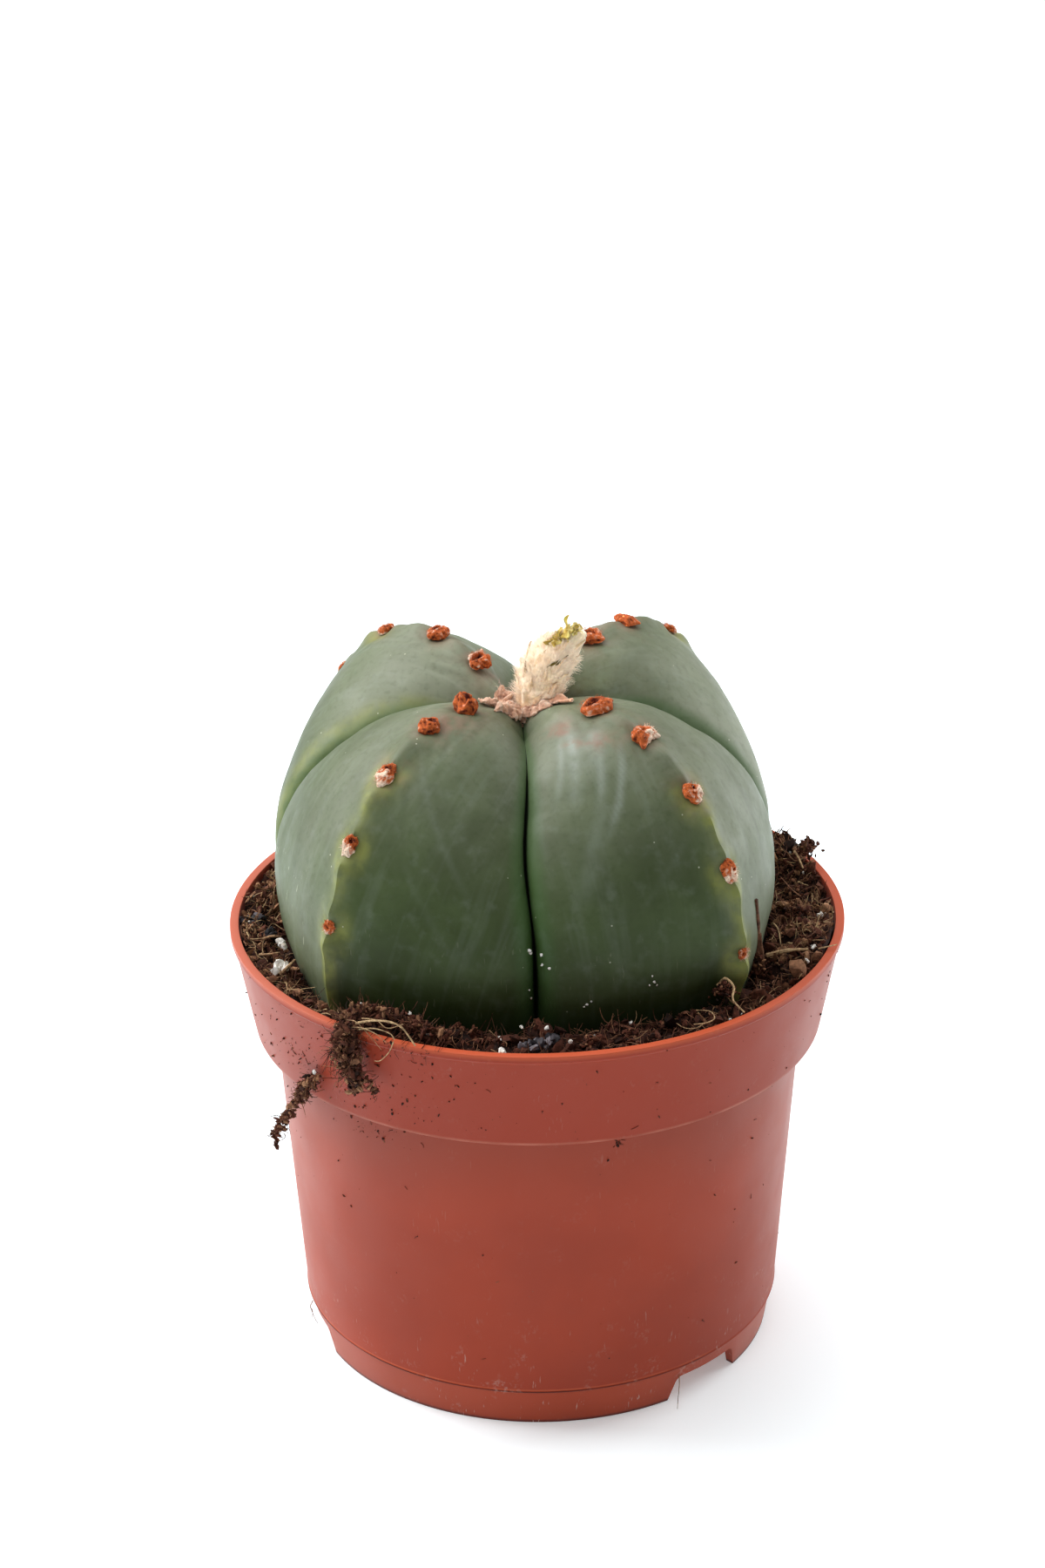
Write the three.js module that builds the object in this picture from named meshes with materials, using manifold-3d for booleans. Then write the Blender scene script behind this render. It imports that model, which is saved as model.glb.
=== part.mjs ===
// A bishop's cap cactus with four ribs, rooted in potting mix in a plastic nursery pot.
// Millimetres, +Z up. The origin is on the surface that the pot stands on, on the pot's axis,
// and -Y is the front, where the furrow between the two front ribs is.
import * as THREE from 'three';
import { ParametricGeometry } from 'three/addons/geometries/ParametricGeometry.js';
import { mergeVertices } from 'three/addons/utils/BufferGeometryUtils.js';
import Module from 'manifold-3d';

const wasm = await Module();
wasm.setup();

// Pot: a moulded shell with a deep collar, a stepped foot ring and three drainage notches
const RIM_RADIUS = 52.5;
const POT_HEIGHT = 77.2;
const RIM_WIDTH = 1.5;
const WALL = 1.2;
const COLLAR_BOTTOM = 59;
const COLLAR_BOTTOM_RADIUS = 48.9;
const COLLAR_TOP_RADIUS = 52;
const BODY_TOP_RADIUS = 45.4;
const SEAM_HEIGHT = 7;
const SEAM_RADIUS = 41.5;
const FOOT_TOP_RADIUS = 41.1;
const FOOT_RADIUS = 40;
const FLOOR_BOTTOM = 5.8;
const FLOOR_TOP = 7.4;
const POT_SIDES = 64;
const NOTCH = { azimuths: [74, 194, 314], foot: 17, top: 13.5, height: FLOOR_BOTTOM, reach: 20 };
const DRAIN = { count: 6, radius: 3.5, circle: 29, sides: 14 };

// Potting mix: its surface lies a little below the rim and is heaped at the right and front left
const SOIL_LEVEL = 74.4;
const SOIL_SIDES = 48;
const SOIL_ROWS = 15;
const SOIL_TOP_ROWS = 9;
const SOIL_HUB = 0.45;
const HEAPS = [
  { azimuth: 28, radius: 45, height: 4.2, spread: 9 },
  { azimuth: 345, radius: 46, height: 2.2, spread: 10 },
  { azimuth: 232, radius: 46, height: 2.6, spread: 7 },
  { azimuth: 190, radius: 46, height: -0.8, spread: 12 },
  { azimuth: 95, radius: 47, height: 1.2, spread: 12 },
];
const LUMPS = { count: 52, seed: 7, smallest: 1.2, largest: 3.1, inner: 40, ring: 8.5 };
const ROUGH = { least: 0.8, range: 0.4 };
const SPILL = [
  { azimuth: 231, radius: 47, z: 77, size: 3.3 },
  { azimuth: 234, radius: 49.4, z: 79, size: 3.2 },
  { azimuth: 235.5, radius: 52.6, z: 78.4, size: 2.9 },
  { azimuth: 236.5, radius: 54, z: 75.4, size: 2.7 },
  { azimuth: 236, radius: 53.8, z: 71.8, size: 2.5 },
  { azimuth: 237.5, radius: 53.1, z: 68.4, size: 2.1 },
  { azimuth: 238.5, radius: 52.4, z: 65.4, size: 1.6 },
];
const CRUMB = {
  top: [-37, -34.9, 64.6], bottom: [-44.2, -28.6, 50.4], beads: 12, size: 1.5, seed: 23,
};

// Stem: the crest of a rib is drawn as radius and height from the crown's pit to the root end
const AXIS = { x: -2.2, y: 6 };
const LEAN = 0.12;
const ROOT_SHIFT = 0.08;
const WIDEST_HEIGHT = 85;
const CREST = [
  [0, 112.4], [4, 114], [10, 117.5], [18, 119], [26, 118.2], [34, 114.6], [40, 109.6], [45, 102.6],
  [48.2, 94], [49.2, WIDEST_HEIGHT], [47.5, 77], [43.5, 70], [36, 63.5], [24, 58.5], [10, 56.5], [0, 56],
];
const RIBS = [
  { azimuth: 46, reach: 1, first: 18.4, pitch: 9.1, spread: 1.27 },
  { azimuth: 136, reach: 0.975, first: 11.3, pitch: 10.1, spread: 1.25 },
  { azimuth: 228.3, reach: 0.99, first: 15.4, pitch: 9.1, spread: 1.18 },
  { azimuth: 316.8, reach: 1, first: 18.4, pitch: 10.6, spread: 1.13 },
];
const FLANK = { depth: 0.125, power: 2.2 };
const CREASE = { depth: 0.08, power: 17 };
const CROWN_DROP = { plain: [6.8, 2], back: [11, 1.35], from: 90, full: 115, pit: 10 };
const STEM_COLUMNS = 56;
const STEM_ROWS = 28;
const BURIED = { from: 0.68, rows: 5 };
const AREOLE = {
  perRib: 5,
  radius: 2.35,
  shrink: 0.45,
  sides: 7,
  seed: 11,
  outline: [[0, -1.3], [0.95, -1.3], [1.05, 0.25], [0.7, 0.85], [0.35, 0.4], [0, 0.35]],
};

// Crown: matted wool in the pit, and the spent flower that stands in it and leans to the right
const WOOL = {
  centre: [-1.9, 5.6, 113.6], radii: [7.6, 7, 3.9], detail: 3, seed: 31, least: 0.88, range: 0.2,
};
const FLOWER = {
  path: [[-1.4, 5.8, 113.2], [0.9, 5.8, 117.2], [3.1, 5.9, 121.4], [6.7, 6, 125.4]],
  radii: [2.7, 4.7, 4.4, 2.1],
  sides: 14,
  rows: 10,
};
const SCALES = { count: 20, from: 0.42, to: 0.9, turn: 2.4, sunk: 0.5, lift: 1.1, reach: 0.16, radius: 0.9 };
const PETALS = {
  count: 6, length: 4.6, width: 1.7, thickness: 0.6, core: 1.3, coreHeight: 2, lean: 0.25, leanMore: 0.12,
};

// Gap that touching pieces keep to each other
const GAP = 0.35;

const degrees = THREE.MathUtils.degToRad;

// Repeatable random numbers from 0 to 1
function makeRandom(seed) {
  let state = seed;
  return () => {
    state = (state * 1664525 + 1013904223) % 4294967296;
    return state / 4294967296;
  };
}

// A closed geometry as a solid with its faces pointing out
function toSolid(geometry) {
  const bare = geometry.index ? geometry.clone() : mergeVertices(geometry);
  for (const name of Object.keys(bare.attributes)) {
    if (name !== 'position') bare.deleteAttribute(name);
  }
  const merged = mergeVertices(bare, 1e-4);
  const corners = merged.index.array;
  const kept = [];
  for (let i = 0; i < corners.length; i += 3) {
    const [a, b, c] = corners.slice(i, i + 3);
    if (a !== b && b !== c && c !== a) kept.push(a, b, c);
  }
  const vertProperties = new Float32Array(merged.attributes.position.array);
  const build = (triVerts) => new wasm.Manifold(
    new wasm.Mesh({ numProp: 3, vertProperties, triVerts: new Uint32Array(triVerts) }),
  );
  const solid = build(kept);
  return solid.volume() > 0 ? solid : build([...kept].reverse());
}

// Only the largest piece of a solid, without the scraps that a cut leaves
function largest(solid) {
  return solid.decompose().reduce((a, b) => (a.volume() > b.volume() ? a : b));
}

function joined(solids) {
  return solids.reduce((a, b) => a.add(b));
}

function toMesh(name, solid, color, roughness) {
  const { vertProperties, triVerts } = solid.getMesh();
  const geometry = new THREE.BufferGeometry();
  geometry.setAttribute('position', new THREE.BufferAttribute(vertProperties, 3));
  geometry.setIndex(new THREE.BufferAttribute(triVerts, 1));
  geometry.computeVertexNormals();
  const mesh = new THREE.Mesh(
    geometry,
    new THREE.MeshStandardMaterial({ color, roughness, metalness: 0 }),
  );
  mesh.name = name;
  return mesh;
}

// A point at a radius and azimuth about the pot's axis
function polar(radius, azimuth, z) {
  return new THREE.Vector3(
    radius * Math.cos(degrees(azimuth)), radius * Math.sin(degrees(azimuth)), z,
  );
}

// An outline of [radius, height] points turned about the pot's axis
function turned(outline, sides) {
  const points = outline.map(([r, z]) => new THREE.Vector2(r, z));
  return toSolid(new THREE.LatheGeometry(points, sides).rotateX(Math.PI / 2));
}

// A rough lump: a ball of triangles pushed in and out at random, then squashed and turned
function lump(centre, size, random) {
  const ball = mergeVertices(new THREE.IcosahedronGeometry(size).deleteAttribute('normal')
    .deleteAttribute('uv'));
  const position = ball.attributes.position;
  for (let i = 0; i < position.count; i += 1) {
    const scale = ROUGH.least + ROUGH.range * random();
    position.setXYZ(i, position.getX(i) * scale, position.getY(i) * scale, position.getZ(i) * scale);
  }
  ball.scale(1, 0.7 + 0.3 * random(), 0.6 + 0.3 * random());
  ball.rotateX(random() * Math.PI).rotateZ(random() * Math.PI);
  return toSolid(ball.translate(centre.x, centre.y, centre.z));
}

// The pot's outline, each point with the way it moves when the shell grows by a clearance
function potOutline(grow) {
  const points = [
    [0, FLOOR_TOP, 0, 1],
    [SEAM_RADIUS - 3.2, FLOOR_TOP, 0, 1],
    [SEAM_RADIUS - WALL, FLOOR_TOP + 1.4, -1, 0],
    [BODY_TOP_RADIUS - WALL, COLLAR_BOTTOM + 0.8, -1, 0],
    [COLLAR_BOTTOM_RADIUS - WALL, COLLAR_BOTTOM + 2, -1, 0],
    [RIM_RADIUS - RIM_WIDTH, POT_HEIGHT - 1.3, -1, 0],
    [RIM_RADIUS - RIM_WIDTH, POT_HEIGHT, -1, 1],
    [RIM_RADIUS - 0.3, POT_HEIGHT, 0, 1],
    [RIM_RADIUS, POT_HEIGHT - 0.3, 1, 0],
    [RIM_RADIUS, POT_HEIGHT - 1.1, 1, 0],
    [COLLAR_TOP_RADIUS, POT_HEIGHT - 1.6, 1, 0],
    [COLLAR_BOTTOM_RADIUS, COLLAR_BOTTOM + 0.4, 1, 0],
    [COLLAR_BOTTOM_RADIUS - 0.2, COLLAR_BOTTOM, 1, -1],
    [BODY_TOP_RADIUS, COLLAR_BOTTOM, 1, -1],
    [SEAM_RADIUS, SEAM_HEIGHT, 1, 0],
    [FOOT_TOP_RADIUS, SEAM_HEIGHT - 0.3, 1, 0],
    [FOOT_RADIUS, 0, 1, -1],
    [FOOT_RADIUS - 1.5, 0, -1, -1],
    [FOOT_RADIUS - 1.1, FLOOR_BOTTOM, -1, -1],
    [0, FLOOR_BOTTOM, 0, -1],
  ];
  return points.map(([r, z, outward, up]) => [r + outward * grow, z + up * grow]);
}

function makePot() {
  let pot = turned(potOutline(0), POT_SIDES);
  for (const azimuth of NOTCH.azimuths) {
    const arch = new THREE.Shape([
      new THREE.Vector2(-NOTCH.foot / 2, -1),
      new THREE.Vector2(NOTCH.foot / 2, -1),
      new THREE.Vector2(NOTCH.foot / 2, 0),
      new THREE.Vector2(NOTCH.top / 2, NOTCH.height),
      new THREE.Vector2(-NOTCH.top / 2, NOTCH.height),
      new THREE.Vector2(-NOTCH.foot / 2, 0),
    ]);
    const cutter = new THREE.ExtrudeGeometry(arch, { depth: NOTCH.reach, bevelEnabled: false })
      .rotateX(Math.PI / 2)
      .translate(0, -FOOT_RADIUS + NOTCH.reach / 2, 0)
      .rotateZ(degrees(azimuth + 90));
    pot = pot.subtract(toSolid(cutter));
  }
  for (let i = 0; i < DRAIN.count; i += 1) {
    const centre = polar(DRAIN.circle, (i * 360) / DRAIN.count, (FLOOR_BOTTOM + FLOOR_TOP) / 2);
    const hole = new THREE.CylinderGeometry(DRAIN.radius, DRAIN.radius, 4, DRAIN.sides)
      .rotateX(Math.PI / 2)
      .translate(centre.x, centre.y, centre.z);
    pot = pot.subtract(toSolid(hole));
  }
  return pot;
}

const crestCurve = new THREE.SplineCurve(CREST.map(([r, z]) => new THREE.Vector2(r, z)));
crestCurve.arcLengthDivisions = 600;

// Azimuth halfway between a rib and the next one round
function furrowAfter(index) {
  const here = RIBS[index].azimuth;
  const next = RIBS[(index + 1) % RIBS.length].azimuth;
  return (here + next + (next < here ? 360 : 0)) / 2;
}

// A column of the stem's grid: its azimuth, its rib, and how far it is from crest (0) to furrow (1)
function stemColumn(column) {
  const half = STEM_COLUMNS / RIBS.length / 2;
  const index = Math.floor(column / (2 * half)) % RIBS.length;
  const step = column % (2 * half);
  const next = (index + 1) % RIBS.length;
  const furrow = furrowAfter(index);
  const ease = (k) => 1 - (1 - k / half) ** 1.6;
  if (step <= half) {
    const across = ease(step);
    const from = RIBS[index].azimuth;
    return { azimuth: from + (furrow - from) * across, rib: index, across, back: index === 0 };
  }
  const across = ease(2 * half - step);
  const to = RIBS[next].azimuth + (next === 0 ? 360 : 0);
  return { azimuth: to + (furrow - to) * across, rib: next, across, back: next === 1 };
}

// The stem's skin at a place along the crest (0 to 1) and a column round it
function stemPoint(along, column) {
  const { azimuth, rib, across, back } = stemColumn(column);
  const { x: radius, y: height } = crestCurve.getPointAt(along);
  const section = 1 - FLANK.depth * (1 - (1 - across) ** FLANK.power)
    - CREASE.depth * across ** CREASE.power;
  const reach = 1 - (1 - RIBS[rib].reach) * (1 - across) ** 0.7;
  const near = THREE.MathUtils.clamp(
    (height - CROWN_DROP.from) / (CROWN_DROP.full - CROWN_DROP.from), 0, 1,
  ) * Math.min(radius / CROWN_DROP.pit, 1);
  const [drop, power] = back ? CROWN_DROP.back : CROWN_DROP.plain;
  const r = radius * section * reach;
  const x = AXIS.x + r * Math.cos(degrees(azimuth));
  const offset = r * Math.sin(degrees(azimuth));
  const shift = ROOT_SHIFT * Math.max(0, WIDEST_HEIGHT - height);
  const z = height - near * drop * across ** power + LEAN * offset;
  return new THREE.Vector3(x, AXIS.y + offset - shift, z);
}

// The grid's rows lie close together above the soil and far apart below it
function stemRow(u) {
  const row = u * STEM_ROWS;
  const visible = STEM_ROWS - BURIED.rows;
  if (row <= visible) return (BURIED.from * row) / visible;
  return THREE.MathUtils.lerp(BURIED.from, 1, (row - visible) / BURIED.rows);
}

// The stem without areoles, grown outwards by a clearance
function makeStemBody(grow) {
  const step = 1e-3;
  const skin = (v, row, target) => {
    const column = v * STEM_COLUMNS;
    const u = stemRow(row);
    target.copy(stemPoint(u, column));
    if (grow === 0) return;
    const before = Math.max(u - step, 0);
    const after = Math.min(u + step, 1);
    const down = stemPoint(after, column).sub(stemPoint(before, column));
    const round = stemPoint(u, (column + 0.1) % STEM_COLUMNS)
      .sub(stemPoint(u, (column + STEM_COLUMNS - 0.1) % STEM_COLUMNS));
    const normal = down.cross(round).normalize();
    const poles = u < step || u > 1 - step;
    if (poles) normal.set(0, 0, u < 0.5 ? 1 : -1);
    target.addScaledVector(normal, grow);
  };
  return toSolid(new ParametricGeometry(skin, STEM_COLUMNS, STEM_ROWS));
}

// Woolly buttons with a dished middle, spaced further apart down each crest
function makeAreoles() {
  const random = makeRandom(AREOLE.seed);
  const length = crestCurve.getLength();
  const perRibColumns = STEM_COLUMNS / RIBS.length;
  const buttons = [];
  RIBS.forEach((rib, index) => {
    for (let k = 0; k < AREOLE.perRib; k += 1) {
      const along = (rib.first + rib.pitch * k ** rib.spread) / length;
      const radius = AREOLE.radius * (1 - AREOLE.shrink * (k / (AREOLE.perRib - 1)))
        * (0.92 + 0.16 * random());
      const outline = AREOLE.outline.map(([r, z]) => new THREE.Vector2(r * radius, z));
      const button = new THREE.LatheGeometry(outline, AREOLE.sides).rotateX(Math.PI / 2);
      button.scale(1 + 0.2 * random(), 1, 1 + 0.4 * random()).rotateZ(random() * Math.PI);
      const place = stemPoint(along, index * perRibColumns);
      const tangent = crestCurve.getTangentAt(along);
      const facing = polar(-tangent.y, rib.azimuth, tangent.x).normalize();
      const turn = new THREE.Quaternion().setFromUnitVectors(new THREE.Vector3(0, 0, 1), facing);
      button.applyQuaternion(turn).translate(place.x, place.y, place.z);
      buttons.push(toSolid(button));
    }
  });
  return buttons;
}

// Height of the soil's surface
function soilHeight(x, y) {
  let z = SOIL_LEVEL + 0.5 * Math.sin(x * 0.55 + 1) * Math.cos(y * 0.5)
    + 0.5 * Math.sin(x * 1.1 + y * 0.9);
  for (const heap of HEAPS) {
    const top = polar(heap.radius, heap.azimuth, 0);
    const distance = Math.hypot(x - top.x, y - top.y);
    z += heap.height * Math.exp(-((distance / heap.spread) ** 2));
  }
  return z;
}

// Inner wall radius of the pot at a height
function innerRadius(z) {
  const wall = potOutline(0).slice(1, 7);
  const upper = Math.max(1, wall.findIndex(([, height]) => height >= z));
  const [r0, z0] = wall[upper - 1];
  const [r1, z1] = wall[upper];
  return THREE.MathUtils.mapLinear(Math.min(z, POT_HEIGHT), z0, z1, r0, r1);
}

// The root ball: a plug with an uneven top that fills the pot's inside
function makeSoilPlug() {
  const base = FLOOR_TOP + GAP;
  const skin = (v, u, target) => {
    const row = Math.round(u * SOIL_ROWS);
    const azimuth = v * 360;
    const rimRadius = RIM_RADIUS - RIM_WIDTH - 2 * GAP;
    if (row <= SOIL_TOP_ROWS) {
      const out = (row - 1) / (SOIL_TOP_ROWS - 1);
      const radius = row === 0 ? 0 : THREE.MathUtils.lerp(SOIL_HUB, 1, out) * rimRadius;
      target.copy(polar(radius, azimuth, 0));
      target.z = soilHeight(target.x, target.y);
      return;
    }
    const down = (row - SOIL_TOP_ROWS) / (SOIL_ROWS - SOIL_TOP_ROWS - 1);
    if (down > 1) {
      target.set(0, 0, base);
      return;
    }
    const height = THREE.MathUtils.lerp(SOIL_LEVEL - 3, base, down ** 0.8);
    target.copy(polar(innerRadius(height) - 2 * GAP, azimuth, height));
  };
  return toSolid(new ParametricGeometry(skin, SOIL_SIDES, SOIL_ROWS));
}

// Crumbs of peat, bark and perlite that stand out of the soil's surface
function makeLumps() {
  const random = makeRandom(LUMPS.seed);
  const lumps = [];
  for (let i = 0; i < LUMPS.count; i += 1) {
    const size = LUMPS.smallest + (LUMPS.largest - LUMPS.smallest) * random() ** 2;
    const place = polar(LUMPS.inner + LUMPS.ring * Math.sqrt(random()), 360 * random(), 0);
    place.z = soilHeight(place.x, place.y) + 0.1 * size;
    lumps.push(lump(place, size, random));
  }
  for (const { azimuth, radius, z, size } of SPILL) {
    lumps.push(lump(polar(radius, azimuth, z), size, random));
  }
  return lumps;
}

// A string of root and peat that has caught on the collar's lower edge
function makeCrumb() {
  const random = makeRandom(CRUMB.seed);
  const top = new THREE.Vector3(...CRUMB.top);
  const bottom = new THREE.Vector3(...CRUMB.bottom);
  const beads = [];
  for (let i = 0; i < CRUMB.beads; i += 1) {
    const along = i / (CRUMB.beads - 1);
    const size = CRUMB.size * (0.75 + 0.5 * random());
    beads.push(lump(top.clone().lerp(bottom, along), size, random));
  }
  return joined(beads);
}

// Matted wool: a low cushion with a rough surface
function makeWool() {
  const random = makeRandom(WOOL.seed);
  const ball = mergeVertices(new THREE.IcosahedronGeometry(1, WOOL.detail).deleteAttribute('normal')
    .deleteAttribute('uv'));
  const position = ball.attributes.position;
  for (let i = 0; i < position.count; i += 1) {
    const scale = WOOL.least + WOOL.range * random();
    position.setXYZ(i, position.getX(i) * scale, position.getY(i) * scale, position.getZ(i) * scale);
  }
  return toSolid(ball.scale(...WOOL.radii).translate(...WOOL.centre));
}

const flowerAxis = new THREE.CatmullRomCurve3(FLOWER.path.map((p) => new THREE.Vector3(...p)));

// Radius of the flower tube from its base (0) to its mouth (1)
function flowerRadius(along) {
  const place = along * (FLOWER.radii.length - 1);
  const index = Math.min(Math.floor(place), FLOWER.radii.length - 2);
  return THREE.MathUtils.lerp(FLOWER.radii[index], FLOWER.radii[index + 1], place - index);
}

// Two directions across the flower tube
function flowerFrame(along) {
  const direction = flowerAxis.getTangentAt(along);
  const side = new THREE.Vector3(0, 1, 0).cross(direction).normalize();
  return { direction, side, front: direction.clone().cross(side) };
}

function flowerPoint(along, azimuth, radius) {
  const { side, front } = flowerFrame(along);
  return flowerAxis.getPointAt(along)
    .addScaledVector(side, radius * Math.cos(azimuth))
    .addScaledVector(front, radius * Math.sin(azimuth));
}

// The woolly tube, and pointed scales that lie against it in a spiral
function makeFlower(grow, withScales) {
  const skin = (v, u, target) => {
    const along = THREE.MathUtils.clamp((u * FLOWER.rows - 1) / (FLOWER.rows - 2), 0, 1);
    const closed = u < 1e-6 || u > 1 - 1e-6;
    const radius = closed ? 0 : flowerRadius(along) + grow;
    target.copy(flowerPoint(along, v * 2 * Math.PI, radius));
    const end = u < 0.5 ? -1 : 1;
    if (along === 0 || along === 1) target.addScaledVector(flowerFrame(along).direction, end * grow);
  };
  let tube = toSolid(new ParametricGeometry(skin, FLOWER.sides, FLOWER.rows));
  if (!withScales) return tube;
  for (let i = 0; i < SCALES.count; i += 1) {
    const along = THREE.MathUtils.lerp(SCALES.from, SCALES.to, i / SCALES.count);
    const azimuth = i * SCALES.turn;
    const radius = flowerRadius(along);
    const root = flowerPoint(along, azimuth, radius - SCALES.sunk);
    const tip = flowerPoint(Math.min(along + SCALES.reach, 1), azimuth, radius + SCALES.lift);
    const length = tip.distanceTo(root);
    const scale = new THREE.ConeGeometry(SCALES.radius, length, 4).translate(0, length / 2, 0);
    const turn = new THREE.Quaternion()
      .setFromUnitVectors(new THREE.Vector3(0, 1, 0), tip.clone().sub(root).normalize());
    scale.applyQuaternion(turn).translate(root.x, root.y, root.z);
    tube = tube.add(toSolid(scale));
  }
  return tube;
}

// Shrivelled petals that stand out of the tube's mouth on a short core
function makePetals() {
  const { direction } = flowerFrame(1);
  const mouth = flowerAxis.getPointAt(1).addScaledVector(direction, GAP);
  const upright = new THREE.Quaternion().setFromUnitVectors(new THREE.Vector3(0, 0, 1), direction);
  const core = new THREE.CylinderGeometry(PETALS.core * 0.7, PETALS.core, PETALS.coreHeight, 8)
    .rotateX(Math.PI / 2)
    .translate(0, 0, PETALS.coreHeight / 2);
  const pieces = [core];
  for (let i = 0; i < PETALS.count; i += 1) {
    const half = PETALS.width / 2;
    const outline = new THREE.Shape([
      new THREE.Vector2(-half * 0.6, 0),
      new THREE.Vector2(half * 0.6, 0),
      new THREE.Vector2(half, PETALS.length * 0.55),
      new THREE.Vector2(half * 0.2, PETALS.length * (0.85 + 0.05 * (i % 3))),
      new THREE.Vector2(-half * 0.9, PETALS.length * 0.6),
    ]);
    const petal = new THREE.ExtrudeGeometry(outline, {
      depth: PETALS.thickness, bevelEnabled: false,
    });
    petal.translate(0, 0, -PETALS.thickness / 2).rotateX(Math.PI / 2)
      .rotateX(-PETALS.lean - PETALS.leanMore * (i % 2))
      .translate(0, PETALS.core * 0.45, 0.4)
      .rotateZ((i * 2 * Math.PI) / PETALS.count);
    pieces.push(petal);
  }
  return joined(pieces.map((piece) => toSolid(
    piece.applyQuaternion(upright).translate(mouth.x, mouth.y, mouth.z),
  )));
}

const pot = makePot();
const potSpace = turned(potOutline(GAP), POT_SIDES);
const stemSpace = makeStemBody(GAP);
const areoles = makeAreoles();
const stem = joined([makeStemBody(0), ...areoles]);
const soil = largest(joined([makeSoilPlug(), ...makeLumps()]).subtract(stemSpace).subtract(potSpace));
const crumb = largest(makeCrumb().subtract(potSpace));
const flower = largest(makeFlower(0, true).subtract(stemSpace));
const wool = largest(makeWool().subtract(stemSpace).subtract(makeFlower(GAP, false)));
const petals = makePetals();

const part = new THREE.Group();
part.add(
  toMesh('pot', pot, 0xa04a38, 0.45),
  toMesh('soil', soil, 0x3a281e, 0.95),
  toMesh('stem', stem, 0x5f7560, 0.7),
  toMesh('crown_wool', wool, 0xb08062, 0.95),
  toMesh('flower_tube', flower, 0xd8c3a0, 0.95),
  toMesh('flower_petals', petals, 0xb39a3c, 0.8),
  toMesh('peat_crumb', crumb, 0x33221a, 0.95),
);

export default part;
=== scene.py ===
"""A four-ribbed bishop's cap cactus in a plastic nursery pot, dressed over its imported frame."""

import logging
import math
from dataclasses import dataclass
from enum import Enum
from typing import Any

import bpy
import numpy as np
from mathutils import Matrix, Vector, noise

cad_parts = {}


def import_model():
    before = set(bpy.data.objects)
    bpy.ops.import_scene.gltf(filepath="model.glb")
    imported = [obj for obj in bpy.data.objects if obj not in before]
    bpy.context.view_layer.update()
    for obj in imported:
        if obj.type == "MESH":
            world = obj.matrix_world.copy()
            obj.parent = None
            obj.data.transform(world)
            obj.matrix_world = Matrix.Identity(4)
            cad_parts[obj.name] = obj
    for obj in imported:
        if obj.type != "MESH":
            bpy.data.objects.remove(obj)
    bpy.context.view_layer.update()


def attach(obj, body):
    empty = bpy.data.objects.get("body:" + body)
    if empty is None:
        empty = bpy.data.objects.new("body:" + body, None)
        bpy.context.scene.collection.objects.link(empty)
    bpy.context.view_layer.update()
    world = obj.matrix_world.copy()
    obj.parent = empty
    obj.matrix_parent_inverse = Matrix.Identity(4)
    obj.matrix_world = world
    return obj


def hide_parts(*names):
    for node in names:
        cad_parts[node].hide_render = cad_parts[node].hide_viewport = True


log = logging.getLogger("cactus")
Array = np.ndarray
Draws = np.random.RandomState
Look = bpy.types.Material
Piece = bpy.types.Object
Socket = bpy.types.NodeSocket
Pair = tuple[float, float]
Triple = tuple[float, float, float]

MM = 0.001
BODY = "root"
# Clearance between pieces that stand in each other, in millimetres
GAP = 0.3
# Edges that turn more than this many degrees stay sharp
SHARP = 38


def linear(code: str) -> tuple[float, float, float, float]:
    """Turns an sRGB hex colour to linear light.

    Args:
        code: six hex digits.

    Returns:
        Red, green, blue and an alpha of 1.
    """
    parts = [int(code[i:i + 2], 16) / 255 for i in (0, 2, 4)]
    rgb = [p / 12.92 if p <= 0.04045 else ((p + 0.055) / 1.055) ** 2.4 for p in parts]
    return rgb[0], rgb[1], rgb[2], 1.0


def smooth(low: float, high: float, x: Array) -> Array:
    """Eases from 0 where x is low to 1 where it is high."""
    t = np.clip((x - low) / (high - low), 0, 1)
    return t * t * (3 - 2 * t)


def polar(radius: Array, azimuth: Array, z: Array) -> Array:
    """Points at a radius and an azimuth in degrees about the pot's axis.

    Args:
        radius: distances from the axis.
        azimuth: azimuths in degrees.
        z: heights.

    Returns:
        The points, one to a row.
    """
    turn = np.radians(azimuth)
    radius, turn, z = np.broadcast_arrays(radius, turn, z)
    return np.stack([radius * np.cos(turn), radius * np.sin(turn), z], axis=-1)


def rough(points: Array, grain: float, seed: float, octaves: int = 3) -> Array:
    """Fractal noise at points, from about -1 to 1, whose largest bumps are a grain wide."""
    return np.array([
        noise.fractal(Vector(p) / grain + Vector((seed, seed, seed)), 0.9, 2.1, octaves)
        for p in points
    ])


def normed(ways: Array, tiny: float = 0.0) -> Array:
    """Directions made one long, with a tiny number added where a length may be zero."""
    return ways / (np.linalg.norm(ways, axis=-1, keepdims=True) + tiny)


def bell(x: Array, y: Array | float = 0.0) -> Array:
    """A hump that is 1 in the middle and fades at about 1 from it."""
    return np.exp(-x ** 2 - y ** 2)


def taper(thick: Array, end: float, steps: int) -> Array:
    """Radii of strands that thin evenly to a share of their thickness, strands by points."""
    return thick[:, None] * np.linspace(1, end, steps)


def spline(corners: Any, t: Array) -> Array:
    """Points between the second and the third of four corners, on a curve through all four."""
    a, b, c, d = corners
    return 0.5 * (2 * b + (c - a) * t + (2 * a - 5 * b + 4 * c - d) * t ** 2
                  + (3 * b - a - 3 * c + d) * t ** 3)


def into_scene(name: str, data: Any) -> Piece:
    """A new object in the scene that shows a mesh, a light or a camera."""
    made = bpy.data.objects.new(name, data)
    bpy.context.scene.collection.objects.link(made)
    return made


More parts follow.
